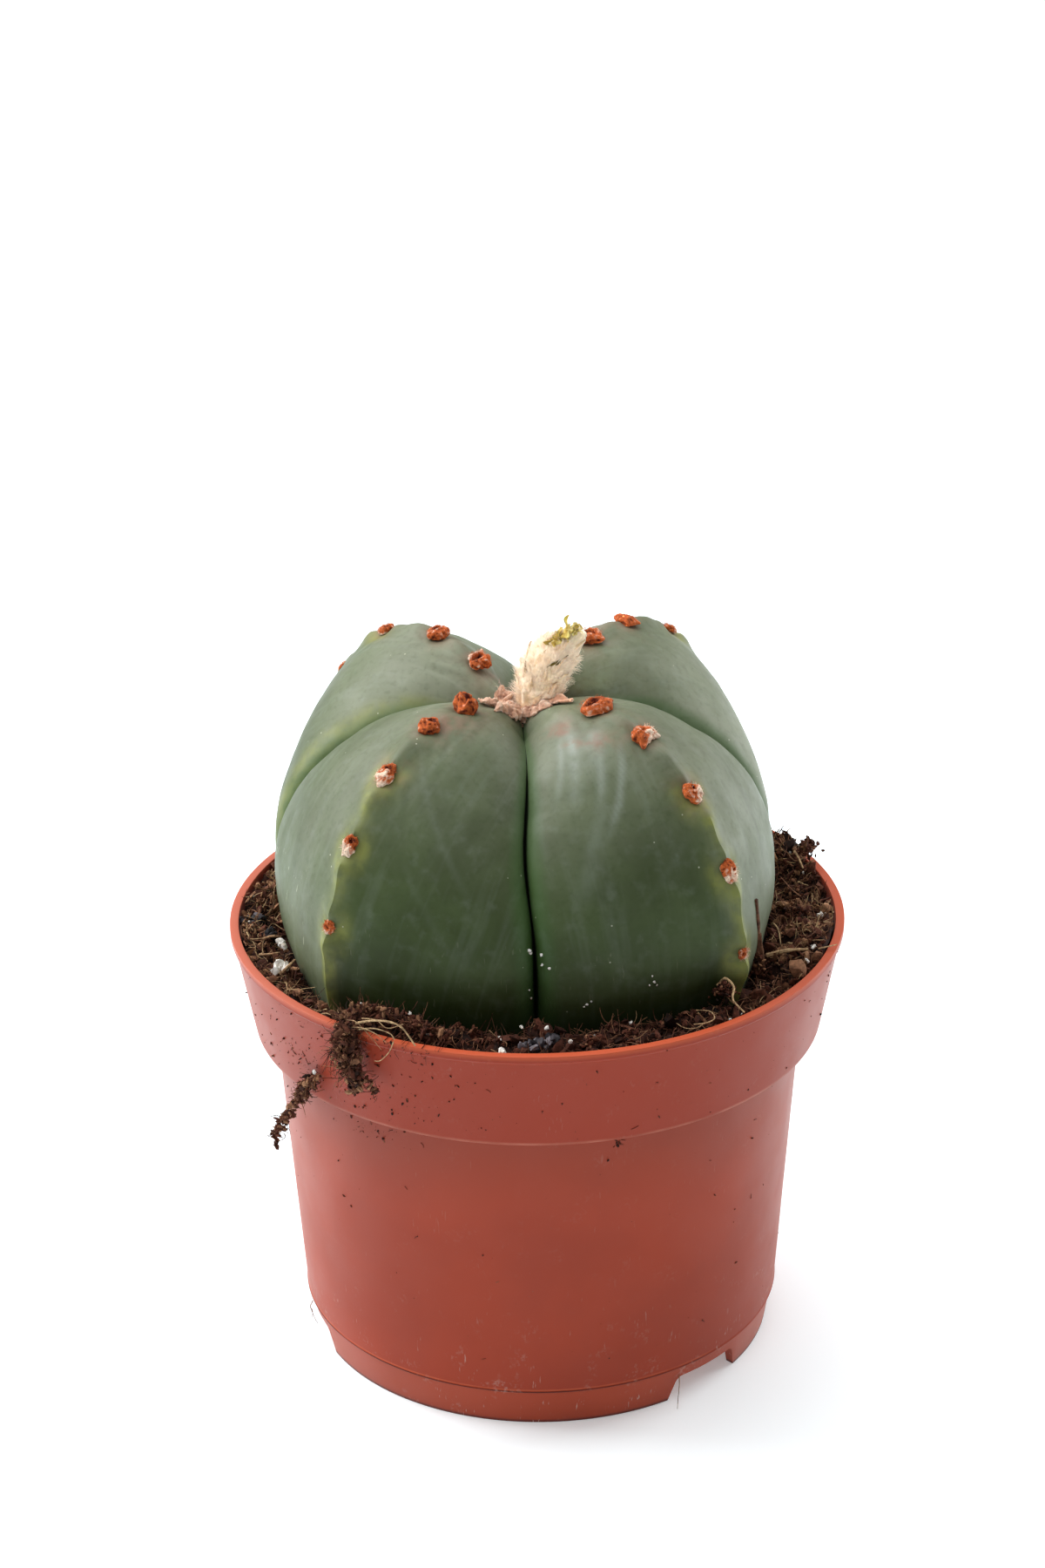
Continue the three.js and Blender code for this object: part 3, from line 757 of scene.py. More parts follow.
@dataclass
class Pot:
    """The nursery pot's shell."""

    rim_radius: float = 52.5
    height: float = 77.2
    rim_width: float = 1.5
    wall: float = 1.2
    collar_bottom: float = 59.0
    collar_bottom_radius: float = 48.9
    collar_top_radius: float = 52.0
    body_top_radius: float = 45.4
    seam_height: float = 7.0
    seam_radius: float = 41.5
    foot_top_radius: float = 41.1
    foot_radius: float = 40.0
    floor_bottom: float = 5.8
    floor_top: float = 7.4
    sides: int = 240
    notches: tuple[float, ...] = (74.0, 194.0, 314.0)
    notch_foot: float = 17.0
    notch_top: float = 13.5
    notch_height: float = 4.6
    notch_depth: float = 14.0
    notch_round: float = 1.1
    drains: int = 6
    drain_radius: float = 3.5
    drain_circle: float = 29.0
    drain_depth: float = 6.0
    edge_round: float = 0.28
    edge_angle: float = 28.0

    def outline(self) -> list[Pair]:
        """The shell's outline as radius and height, from the floor inside to the floor below."""
        rim, inner_rim = self.rim_radius, self.rim_radius - self.rim_width
        wall, body, collar = self.wall, self.body_top_radius, self.collar_bottom_radius
        seam, seam_z, foot = self.seam_radius, self.seam_height, self.foot_radius
        top, ledge = self.height, self.collar_bottom
        return [
            (seam - 3.2, self.floor_top), (seam - wall, self.floor_top + 1.4),
            (body - wall, ledge + 0.8), (collar - wall, ledge + 2),
            (inner_rim, top - 1.3), (inner_rim, top), (rim, top), (rim, top - 1.1),
            (self.collar_top_radius, top - 1.6), (collar, ledge + 0.5), (collar - 0.1, ledge),
            (body, ledge), (seam, seam_z + 0.25), (seam + 0.12, seam_z + 0.1),
            (seam + 0.12, seam_z - 0.1), (self.foot_top_radius, seam_z - 0.35),
            (foot, 0.0), (foot - 1.5, 0.0), (foot - 1.1, self.floor_bottom),
        ]

    def radius_at(self, z: Array) -> Array:
        """The outer radius at heights, for what clings to the wall."""
        radii, heights = zip(*self.outline()[6:17][::-1])
        return np.interp(z, heights, radii)

    def inner_at(self, z: float) -> float:
        """The inner radius at a height."""
        radii, heights = zip(*self.outline()[1:6])
        return float(np.interp(z, heights, radii))

    def build(self) -> Piece:
        """Draws the shell ring by ring, closes its floor, rounds its edges and cuts its openings."""
        (radius, height), *rest = self.outline()
        Tool.nothing()
        bpy.ops.mesh.primitive_circle_add(vertices=self.sides, radius=radius * MM,
                                          location=(0, 0, height * MM))
        pot = bpy.context.object
        Tool.settle(pot)
        bpy.ops.object.mode_set(mode="EDIT")
        bpy.ops.mesh.edge_face_add()
        bpy.ops.mesh.select_mode(type="EDGE")
        for next_radius, next_height in rest:
            bpy.ops.mesh.extrude_edges_move(
                TRANSFORM_OT_translate={"value": (0, 0, (next_height - height) * MM)})
            scale = next_radius / radius
            bpy.ops.transform.resize(value=(scale, scale, 1), center_override=(0, 0, 0))
            radius, height = next_radius, next_height
        bpy.ops.mesh.edge_face_add()
        bpy.ops.mesh.select_all(action="SELECT")
        bpy.ops.mesh.normals_make_consistent(inside=False)
        bpy.ops.object.mode_set(mode="OBJECT")
        Tool.apply(pot, "BEVEL", width=self.edge_round * MM, segments=3, limit_method="ANGLE",
                   angle_limit=math.radians(self.edge_angle))
        for azimuth in self.notches:
            Tool.cut(pot, self.notch(azimuth))
        for index in range(self.drains):
            x, y, _ = polar(self.drain_circle, index * 360 / self.drains, 0.0)
            bpy.ops.mesh.primitive_cylinder_add(
                vertices=40, radius=self.drain_radius * MM, depth=self.drain_depth * MM,
                location=(x * MM, y * MM, self.floor_bottom * MM))
            Tool.cut(pot, bpy.context.object)
        return pot

    def notch(self, azimuth: float) -> Piece:
        """A block with sloping sides that cuts one drainage notch.

        Args:
            azimuth: the notch's azimuth in degrees.

        Returns:
            The cutter.
        """
        x, y, _ = polar(self.foot_radius, azimuth, 0.0)
        deep = self.notch_height + 1
        bpy.ops.mesh.primitive_cube_add(size=1, location=(x * MM, y * MM, (deep / 2 - 1) * MM),
                                        scale=(self.notch_depth * MM, self.notch_foot * MM, deep * MM))
        block = bpy.context.object
        bpy.ops.object.mode_set(mode="EDIT")
        bpy.ops.mesh.select_all(action="DESELECT")
        bpy.ops.object.mode_set(mode="OBJECT")
        for face in block.data.polygons:
            face.select = face.normal.z > 0.9
        bpy.ops.object.mode_set(mode="EDIT")
        narrow = self.notch_top / self.notch_foot
        bpy.ops.transform.resize(value=(1, narrow, 1))
        bpy.ops.mesh.select_all(action="SELECT")
        bpy.ops.mesh.bevel(offset=self.notch_round * MM, segments=4)
        bpy.ops.object.mode_set(mode="OBJECT")
        block.rotation_euler = (0, 0, math.radians(azimuth))
        return block


@dataclass(frozen=True)
class Rib:
    """One rib: its azimuth, its reach, and how its woolly buttons are spaced down the crest."""

    azimuth: float
    reach: float
    first: float
    pitch: float
    spread: float

    def button(self, index: int) -> float:
        """How far down the crest a button is, in millimetres from the crown's pit."""
        return self.first + self.pitch * index ** self.spread


BACK_RIGHT, BACK_LEFT, FRONT_LEFT, FRONT_RIGHT = range(4)
RIBS = (
    Rib(46, 1, 18.4, 9.1, 1.27),
    Rib(136, 0.975, 11.3, 10.1, 1.25),
    Rib(228.3, 0.99, 15.4, 9.1, 1.18),
    Rib(316.8, 1, 18.4, 10.6, 1.13),
)
BUTTONS = 5


@dataclass
class Stem:
    """The grown stem: four ribs about a leaning axis."""

    axis: Pair = (-2.2, 6.0)
    lean: float = 0.12
    root_shift: float = 0.08
    widest: float = 85.0
    flank: Pair = (0.125, 2.2)
    crease: Pair = (0.055, 17.0)
    slot: Pair = (0.05, 70.0)
    bend: Pair = (-1.2, 46.0)
    plain_drop: Pair = (6.8, 2.0)
    back_drop: Pair = (11.0, 1.35)
    # The crest from the crown's pit to the root, as radius and height
    profile: tuple[Pair, ...] = (
        (0, 112.4), (4, 114), (10, 117.5), (18, 119), (26, 118.2), (34, 114.6), (40, 109.6),
        (45, 102.6), (48.2, 94), (49.2, widest), (47.5, 77), (43.5, 70), (36, 63.5),
        (24, 58.5), (10, 56.5), (0, 56),
    )
    columns: int = 432
    rows: int = 210
    # Share of the rows that is above the mix, and how far down the crest they reach
    visible: float = 0.88
    buried: float = 0.68

    def __post_init__(self) -> None:
        """Samples the crest's curve by its length."""
        crest = np.array(self.profile)
        padded = np.vstack([crest[:1], crest, crest[-1:]])
        t = np.linspace(0, 1, 60, endpoint=False)[:, None]
        pieces = [spline(padded[i:i + 4], t) for i in range(len(crest) - 1)]
        self.line = np.vstack(pieces + [crest[-1:]])
        self.reach = np.concatenate([[0], np.cumsum(np.hypot(*np.diff(self.line, axis=0).T))])
        self.length = float(self.reach[-1])

    def crest(self, down: Array) -> tuple[Array, Array]:
        """Radius and height of the crest at distances down it."""
        return (np.interp(down, self.reach, self.line[:, 0]),
                np.interp(down, self.reach, self.line[:, 1]))

    def spot(self, azimuth: Array) -> tuple[Array, Array, Array]:
        """Which rib an azimuth is on.

        Args:
            azimuth: azimuths in degrees.

        Returns:
            The rib's number, how far across it is from crest to furrow, and its side, -1 or 1.
        """
        crests = np.array([rib.azimuth for rib in RIBS])
        away = (azimuth[..., None] - crests + 180) % 360 - 180
        rib = np.abs(away).argmin(axis=-1)
        offset = np.take_along_axis(away, rib[..., None], -1)[..., 0]
        side = np.where(offset >= 0, 1, -1)
        other = crests[(rib + side) % len(RIBS)]
        span = np.abs((other - crests[rib] + 180) % 360 - 180) / 2
        return rib, np.clip(np.abs(offset) / span, 0, 1), side

    def azimuth(self, column: Array) -> Array:
        """The azimuth of a column of the grid, with a column on each crest and furrow."""
        half = self.columns / len(RIBS) / 2
        index = (column // (2 * half)).astype(int) % len(RIBS)
        step = column % (2 * half)
        crests = np.array([rib.azimuth for rib in RIBS])
        here = crests[index]
        after = crests[(index + 1) % len(RIBS)] + 360 * (index == len(RIBS) - 1)
        furrow = (here + after) / 2
        rising = step <= half
        across = 1 - (1 - np.where(rising, step, 2 * half - step) / half) ** 1.35
        return np.where(rising, here + (furrow - here) * across, after + (furrow - after) * across)

    def point(self, down: Array, azimuth: Array) -> Array:
        """The skin about the stem's leaning axis.

        Args:
            down: distances down the crest.
            azimuth: azimuths in degrees.

        Returns:
            The points, one to a place.
        """
        rib, across, side = self.spot(azimuth)
        radius, height = self.crest(down)
        section = (1 - self.flank[0] * (1 - (1 - across) ** self.flank[1])
                   - self.crease[0] * across ** self.crease[1]
                   - self.slot[0] * across ** self.slot[1])
        reaches = np.array([r.reach for r in RIBS])[rib]
        reach = 1 - (1 - reaches) * (1 - across) ** 0.7
        near = np.clip((height - 90) / 25, 0, 1) * np.clip(radius / 10, 0, 1)
        back = ((rib == BACK_RIGHT) & (side > 0)) | ((rib == BACK_LEFT) & (side < 0))
        drop = np.where(back, self.back_drop[0] * across ** self.back_drop[1],
                        self.plain_drop[0] * across ** self.plain_drop[1])
        r = radius * section * reach
        turn = np.radians(azimuth)
        offset = r * np.sin(turn)
        shift = self.root_shift * np.maximum(0, self.widest - height)
        # The front furrow bends a little to the left half way down
        front = ((rib == FRONT_LEFT) & (side > 0)) | ((rib == FRONT_RIGHT) & (side < 0))
        bend = self.bend[0] * front * smooth(0.4, 1.0, across) * bell((down - self.bend[1]) / 13)
        return np.stack([
            self.axis[0] + r * np.cos(turn) + bend,
            self.axis[1] + offset - shift,
            height - near * drop + self.lean * offset,
        ], axis=-1)

    def normal(self, down: Array, azimuth: Array) -> Array:
        """The skin's outward direction."""
        fall = self.point(down + 0.2, azimuth) - self.point(down - 0.2, azimuth)
        round_ = self.point(down, azimuth + 0.3) - self.point(down, azimuth - 0.3)
        return normed(np.cross(fall, round_), 1e-9)

    def outline(self, azimuth: Array, soil: "Soil", clear: float) -> Array:
        """Where the skin meets the soil.

        Args:
            azimuth: azimuths in degrees.
            soil: the soil that the stem stands in.
            clear: how far the points are moved out.

        Returns:
            One point an azimuth, as x and y.
        """
        downs = np.linspace(66, 110, 90)
        grid = self.point(downs[None, :], azimuth[:, None] * np.ones((1, 90)))
        level = soil.height(grid[..., 0], grid[..., 1])
        above = grid[..., 2] > level
        last = np.clip(above.sum(axis=1) - 1, 0, 88)
        place = grid[np.arange(len(azimuth)), last]
        out = np.stack([np.cos(np.radians(azimuth)), np.sin(np.radians(azimuth))], -1)
        return place[:, :2] + out * clear

    def build(self) -> Piece:
        """Shapes a ball into the stem, then presses in dents and raises folds below the buttons."""
        stem = Tool.ball(self.columns, self.rows)
        unit = Tool.points(stem)
        turn, row = Tool.grid(unit, self.rows)
        column = np.round(turn / 360 * self.columns) % self.columns
        visible = self.visible * self.rows
        share = np.where(row <= visible, self.buried * row / visible,
                         self.buried + (1 - self.buried) * (row - visible) / (self.rows - visible))
        azimuth = self.azimuth(column)
        down = share * self.length
        places = self.point(down, azimuth)
        rib, across, side = self.spot(azimuth)
        marks = self.marks(down, rib, across, side, places)
        inside = (row > 0) & (row < self.rows)
        places[inside] += (self.normal(down, azimuth) * marks.pop("relief")[:, None])[inside]
        Tool.shape(stem, places)
        Tool.paint(stem, "across", across)
        Tool.paint(stem, "down", down)
        # The ribbons' lanes spread down a flank, and each flank has its own
        apart = rib * 31.7 + side * 7.3
        Tool.paint(stem, "fan", apart + across * (16 + 0.28 * down) + 0.12 * down * side)
        for name, values in marks.items():
            Tool.paint(stem, name, np.clip(values, 0, 1))
        return stem

    def marks(self, down: Array, rib: Array, across: Array, side: Array,
              places: Array) -> dict[str, Array]:
        """Small forms and colour marks over the plain ribs.

        Args:
            down: distances down the crest.
            rib: rib numbers.
            across: distances across, 0 on the crest.
            side: the side of the crest.
            places: the skin's points.

        Returns:
            The relief in millimetres, and each colour mark from 0 to 1.
        """
        relief = 0.24 * rough(places, 13, 3.1) * smooth(0.0, 0.2, across)
        blush, edge = np.zeros(len(down)), np.zeros(len(down))
        radius, _ = self.crest(down)
        width = across * radius * math.radians(45)
        for index, one in enumerate(RIBS):
            on = rib == index
            for k in range(BUTTONS):
                s = one.button(k)
                size = 1.35 - 0.15 * k
                past = down - s
                far = np.hypot(past, width)
                dip = -0.5 * size * bell(far / (2.2 * size))
                brow = 0.5 * bell((past + 2.9 * size) / (1.8 * size), width / 1.9)
                chin = 0.85 * bell((past - 4.2 * size) / (2.6 * size), width / 2.1)
                relief += on * (dip + (brow * (k > 1) + chin))
                # Folds run down and away from the button on each side
                for fold in (2.0, 4.2):
                    line = width - fold - 0.42 * np.maximum(past, 0)
                    reach = smooth(-1, 2, past) * smooth(14 - k, 3, past)
                    relief += on * -0.17 * size * bell(line / 0.95) * reach
                blush += on * 0.75 * bell(far / (3.0 * size)) * (k < 3)
                edge += on * 0.8 * bell((past - 1.0) / 3.2, (width - 2.2) / 1.5) * (k > 1)
                edge += on * 0.9 * bell((past - 5.5) / 4.5, width / 1.3) * (k > 1)
        # The front right rib is flushed beside its first buttons, towards the front furrow
        flanks = {FRONT_LEFT: (rib == FRONT_LEFT) & (side > 0),
                  FRONT_RIGHT: (rib == FRONT_RIGHT) & (side < 0)}
        right = flanks[FRONT_RIGHT]
        for s, w, wide in ((18.9, 7.8, 1.8), (20.5, 8.2, 1.4), (26.7, 6.8, 2.2), (25, 10, 1.2)):
            blush += right * 1.2 * bell((down - s) / wide, (width - w) / wide)
        blush += 0.5 * flanks[FRONT_LEFT] * bell((down - 22) / 5, (width - 3) / 4)
        # Pale wax lies between the first and second buttons there
        wax = right * 0.4 * bell((down - 26) / 6, (across - 0.5) / 0.16)
        back = (rib == BACK_LEFT) & (side > 0)
        edge += 0.5 * back * bell((across - 0.9) / 0.07) * smooth(12, 24, down)
        for on_rib, start, end, wide, strength in WAX_RUNS:
            along = (down - start[0]) / (end[0] - start[0])
            centre = start[1] + (end[1] - start[1]) * along
            streak = bell((across - centre) / wide) * flanks[on_rib]
            wax += strength * streak * smooth(-0.1, 0.15, along) * smooth(1.1, 0.6, along)
        # A sharp edge stands on the lower crests, and the crown's are round
        relief += 0.5 * bell(width) * smooth(44, 68, down)
        edge += 0.9 * bell(width / 0.8) * smooth(58, 72, down)
        relief -= 0.55 * bell(width / 2.0) * smooth(34, 12, down) * smooth(2, 9, down)
        low = smooth(56, 66, down)
        scar = 0.9 * low * ((rib == FRONT_LEFT) & (side < 0)) * smooth(0.1, 0.3, across) + 0.12 * low
        return {"relief": relief, "blush": blush, "edge": edge, "wax": wax, "scar": scar,
                "bloom_and_shade": self.bloom_and_shade(down, rib, across, side)}

    def bloom_and_shade(self, down: Array, rib: Array, across: Array, side: Array) -> Array:
        """How thick the grey bloom is: thin on the two front flanks and low down, partly real bloom and
        partly painted shade.

        Args:
            down: distances down the crest.
            rib: rib numbers.
            across: distances across, 0 on the crest.
            side: the side of the crest.

        Returns:
            The bloom from 0 to 1.
        """
        amount = np.array(BLOOM_AND_SHADE)
        fade = smooth(16, 66, down)

        def on(ribs: Array, sides: Array) -> Array:
            """The bloom of the flanks on some ribs' sides."""
            pair = amount[ribs, (sides + 1) // 2]
            return pair[..., 0] * (1 - fade) + pair[..., 1] * fade

        # Less bloom, so darker, from half way across the front left rib's clockwise flank
        thinned = 0.4 * ((rib == FRONT_LEFT) & (side < 0)) * smooth(0.35, 0.75, across)
        own = on(rib, side) * (1 - thinned)
        near_furrow = 0.5 * smooth(0.8, 1.0, across)
        near_crest = 0.5 * smooth(0.10, 0.0, across)
        return (own * (1 - near_furrow - near_crest) + on((rib + side) % len(RIBS), -side) * near_furrow
                + on(rib, -side) * near_crest)


# Bloom of each rib's two flanks, clockwise side first, as upper and lower amounts; thin bloom also
# paints shade
BLOOM_AND_SHADE = (
    ((0.40, 1.0), (0.5, 0.55)),
    ((0.6, 0.6), (0.84, 0.05)),
    ((0.54, 0.38), (0.42, 0.0)),
    ((0.60, 0.02), (0.56, 0.50)),
)
# Streaks of wax on the two front flanks: rib, start and end as (down, across), width and strength
WAX_RUNS = (
    (FRONT_RIGHT, (21, 0.50), (37, 0.69), 0.045, 0.7),
    (FRONT_RIGHT, (24, 0.30), (31, 0.43), 0.070, 0.6),
    (FRONT_RIGHT, (30, 0.40), (39, 0.54), 0.028, 0.5),
    (FRONT_RIGHT, (29, 0.20), (45, 0.55), 0.026, 0.65),
    (FRONT_RIGHT, (22, 0.62), (36, 0.80), 0.030, 0.5),
    (FRONT_RIGHT, (39, 0.55), (56, 0.75), 0.045, 0.25),
    (FRONT_RIGHT, (48, 0.14), (58, 0.46), 0.024, 0.10),
    (FRONT_LEFT, (31, 0.13), (55, 0.70), 0.026, 0.12),
    (FRONT_LEFT, (50, 0.30), (66, 0.62), 0.024, 0.07),
)


@dataclass
class Soil:
    """The potting mix in a pot and round a stem: its plug, and the loose stuff on top of it."""

    pot: Pot
    stem: Stem
    level: float = 74.4
    floor: float = 7.7
    heaps: tuple[tuple[float, float, float, float], ...] = (
        (28, 45, 4.2, 9), (345, 46, 2.2, 10), (237, 46, 2.8, 7), (190, 46, -0.8, 12), (95, 47, 1.2, 12),
    )
    bank: float = 1.6
    # The plug's grid: its columns and rows, and the last row of the hollow, the top and the wall
    grid: tuple[int, int] = (320, 96)
    bends: tuple[int, int, int] = (24, 80, 92)
    # The hollow's height under the stem, and how far its middle is in front of the stem's axis
    hollow_height: float = 54.0
    hollow_forward: float = 2.2

    def height(self, x: Array, y: Array) -> Array:
        """Height of the soil's surface, smoothed over its crumbs."""
        z = (self.level + 0.5 * np.sin(x * 0.55 + 1) * np.cos(y * 0.5)
             + 0.5 * np.sin(x * 1.1 + y * 0.9))
        # It is banked up to the rim at the sides and the back
        z = z + self.bank * smooth(43, 50, np.hypot(x, y)) * smooth(-35, -12, y)
        for azimuth, radius, rise, spread in self.heaps:
            top = polar(radius, azimuth, 0.0)
            z = z + rise * bell(np.hypot(x - top[0], y - top[1]) / spread)
        return z

    def lumpy(self, places: Array) -> Array:
        """The extra height of hummocks and hollows at places."""
        flat = places * (1, 1, 0)
        return 1.3 * rough(flat, 6.0, 9.0) + 0.9 * rough(flat, 2.6, 4.0)

    def build_plug(self) -> Piece:
        """Shapes a ball into the root ball, with a hollow that the stem's foot sits in."""
        pot, stem = self.pot, self.stem
        columns, rows = self.grid
        hollow, top, wall = self.bends
        plug = Tool.ball(columns, rows)
        unit = Tool.points(plug)
        azimuth, row = Tool.grid(unit, rows)
        rim = pot.rim_radius - pot.rim_width - GAP
        edge = stem.outline(np.arange(columns) * 360 / columns, self, GAP)
        edge = edge[np.round(azimuth / 360 * columns).astype(int) % columns]
        places = np.zeros((len(unit), 3))
        # Under the stem the hollow follows its foot
        under = row <= hollow
        centre = np.array(stem.axis) - (0, self.hollow_forward)
        share = np.sqrt(row / hollow)[:, None]
        inner = centre + (edge - centre) * np.clip(share, 0, 1)
        depth = self.hollow_height - 1.5 * GAP
        lip = self.height(edge[:, 0], edge[:, 1]) - self.gap_depth(edge[:, 1])
        places[under, :2] = inner[under]
        places[under, 2] = (depth + (lip - depth) * smooth(0.45, 1.0, share[:, 0]) ** 1.6)[under]
        # Then out over the top to the wall, with a dark gap beside the stem
        over = (row > hollow) & (row <= top)
        out = ((row - hollow) / (top - hollow))[:, None]
        edge_wall = polar(rim, np.degrees(np.arctan2(edge[:, 1], edge[:, 0])), 0.0)[:, :2]
        ring = edge + (edge_wall - edge) * out
        places[over, :2] = ring[over]
        level = self.height(ring[:, 0], ring[:, 1])
        level -= self.gap_depth(edge[:, 1]) * smooth(0.28, 0.0, out[:, 0])
        places[over, 2] = level[over]
        places[over, 2] += self.lumpy(places[over]) - 0.3
        # And down inside the pot
        side = row > top
        fall = np.clip((row - top) / (wall - top), 0, 1)
        level = self.level - 3 + (self.floor - self.level + 3) * fall
        radius = np.array([pot.inner_at(z) - 2 * GAP for z in level])
        way = np.arctan2(edge[:, 1], edge[:, 0])
        places[side] = np.stack([radius * np.cos(way), radius * np.sin(way), level], -1)[side]
        places[row == wall + 1] *= (0.5, 0.5, 1)
        places[row == rows] = (0, 0, self.floor)
        Tool.shape(plug, places)
        Tool.paint(plug, "tint", 0.05 + 0.2 * smooth(-0.4, 0.8, rough(places, 1.8, 4.0)))
        return plug

    @staticmethod
    def gap_depth(y: Array) -> Array:
        """How far the soil has shrunk down beside the stem, most at the front."""
        return 1.0 + 1.6 * smooth(-10, -34, y)

    def ring(self, draw: Draws, count: int, inset: float = 0.6) -> Array:
        """Random places on the open soil, evenly by area.

        Args:
            draw: the random numbers.
            count: how many.
            inset: the clearance to the stem and the pot.

        Returns:
            The places, one to a row.
        """
        angles = draw.uniform(0, 360, count * 4)
        edge = self.stem.outline(angles, self, inset)
        inner = np.hypot(edge[:, 0], edge[:, 1])
        rim = self.pot.rim_radius - self.pot.rim_width - inset
        radius = rim * np.sqrt(draw.uniform(0.4, 1, count * 4))
        azimuth = np.degrees(np.arctan2(edge[:, 1], edge[:, 0]))
        keep = np.flatnonzero(radius > inner)[:count]
        places = polar(radius[keep], azimuth[keep], 0.0)
        share = (radius[keep] - inner[keep]) / np.maximum(rim - inner[keep], 1)
        places[:, 2] = self.height(places[:, 0], places[:, 1]) + self.lumpy(places)
        places[:, 2] -= self.gap_depth(places[:, 1]) * smooth(0.28, 0.0, share)
        return places

    def build_crumbs(self) -> Piece:
        """Peat crumbs and bark flakes all over the soil."""
        heap = Heap(5)
        draw = heap.draw
        for count, small, large, squash in (
            (3000, 0.2, 0.65, (1.0, 0.75, 0.6)),
            (620, 0.6, 1.25, (1.0, 0.7, 0.5)),
            (240, 1.1, 2.1, (1.0, 0.7, 0.45)),
            (1100, 0.5, 1.6, (1.0, 0.34, 0.14)),
        ):
            places = self.ring(draw, count)
            sizes = small + (large - small) * draw.uniform(0, 1, len(places)) ** 2
            places[:, 2] += sizes * draw.uniform(-0.2, 0.45, len(places))
            tint = draw.beta(2.2, 2.4, len(places)) * self.tone_and_shade(places)
            heap.crumbs(places, sizes, squash, tint)
        self.tufts(heap)
        return heap.object("peat_crumbs")

    def tone_and_shade(self, places: Array) -> Array:
        """How pale the mix is painted: darker in the hollows and at the front as painted shade, paler
        at the left and right sides.
        """
        above = places[:, 2] - self.height(places[:, 0], places[:, 1])
        # Crumbs low in the hollows and those at the front are painted darker, as shade
        hollow_shade = 0.4 + 0.8 * smooth(-1.2, 1.6, above)
        sides = 1 + 0.55 * smooth(-26, -42, places[:, 0]) + 0.45 * smooth(30, 44, places[:, 0])
        return hollow_shade * sides * (1 - 0.25 * smooth(-32, -44, places[:, 1]))

    def tufts(self, heap: Heap) -> None:
        """Small clots of peat that stand up from the soil in places."""
        for x, y, z, high, wide in TUFTS:
            count = int(26 * high * wide)
            share = heap.draw.uniform(0, 1, count)
            places = np.stack([x + heap.draw.normal(0, 0.42 * wide, count) * (1.1 - share),
                               y + heap.draw.normal(0, 0.42 * wide, count) * (1.1 - share),
                               z + high * share], -1)
            heap.crumbs(places, heap.draw.uniform(0.25, 0.6, count), (1, 0.6, 0.45),
                        heap.draw.beta(2.0, 2.6, count))

    def build_fibres(self) -> Piece:
        """Rootlets and coir fibres that lie curled on the soil."""
        heap = Heap(8)
        draw = heap.draw
        for count, steps, length, curl, thick, beyond in (
            (2500, 5, (0.9, 3.4), 0.34, (0.045, 0.11), 0),
            (420, 7, (2.5, 6.0), 0.16, (0.06, 0.14), 0),
            (1500, 5, (1.4, 3.6), 0.7, (0.07, 0.17), 27),
        ):
            places = self.ring(draw, count, 0.9)
            places = places[np.abs(places[:, 0]) >= beyond]
            places[:, 2] += draw.uniform(-0.1, 0.6, len(places))
            heading = draw.normal(size=places.shape) * (1, 1, 0.45)
            paths = wander(draw, places, heading, draw.uniform(*length, len(places)), steps, curl)
            self.keep_in(paths)
            thin = taper(draw.uniform(*thick, len(places)), 0.5, steps)
            tint = draw.beta(1.3, 2.0, len(places)) * self.tone_and_shade(places)
            heap.strands(paths, thin, tint[:, None])
        return heap.object("peat_fibres")

    def keep_in(self, paths: Array) -> None:
        """Bends paths back so that they stay on the soil and inside the rim."""
        rim = self.pot.rim_radius - self.pot.rim_width - 0.4
        radius = np.hypot(paths[..., 0], paths[..., 1])
        paths[..., :2] *= np.where(radius > rim, rim / radius, 1)[..., None]
        level = self.height(paths[..., 0], paths[..., 1])
        paths[..., 2] = np.maximum(paths[..., 2], level - 1.2)

    def build_straws(self) -> Piece:
        """The few pale straws and dark roots that stand out one by one."""
        heap, steps = Heap(12), 14
        for points, thick, tint in STRAWS:
            line = curve_through(np.array(points, float), steps)
            width = thick * (np.linspace(1, 0.55, steps) + heap.draw.uniform(-0.12, 0.12, steps))
            shade = np.clip(tint + heap.draw.uniform(-0.12, 0.12, (1, steps)), 0, 1)
            heap.strands(line[None], width[None], shade, 6)
        return heap.object("straws")

    def build_grains(self) -> tuple[Piece, Piece]:
        """White perlite grains and lumps of charcoal, some placed where they show."""
        heap = Heap(21)
        draw = heap.draw
        places = self.ring(draw, 40, 1.0)
        sizes = 0.18 + 0.4 * draw.uniform(0, 1, len(places)) ** 2
        places[:, 2] += sizes * 0.6 + 0.2
        for x, y, z, size, pieces in GRAINS:
            spread = draw.normal(0, 0.45 * size, (pieces, 3)) * (1, 1, 0.4) * (pieces > 1)
            places = np.vstack([places, np.array([x, y, z]) + spread])
            sizes = np.concatenate([sizes, np.full(pieces, size * (0.62 if pieces > 1 else 1.0))])
        down, azimuth, size = np.array(SPRINKLED).T
        lift = self.stem.normal(down, azimuth) * size[:, None] * 0.5
        places = np.vstack([places, self.stem.point(down, azimuth) + lift])
        sizes = np.concatenate([sizes, size])
        heap.crumbs(places, sizes, (1.0, 0.85, 0.7), np.full(len(places), 0.9), 2)
        coal = Heap(23)
        for x, y, z, wide, count in COALS:
            spread = coal.draw.normal(0, 0.4 * wide, (count, 3)) * (1, 0.8, 0.35)
            coal.crumbs(np.array([x, y, z]) + spread, coal.draw.uniform(0.4, 1.1, count),
                        (1, 0.75, 0.6), coal.draw.beta(1.6, 2.2, count), 2)
        return heap.object("perlite"), coal.object("charcoal")

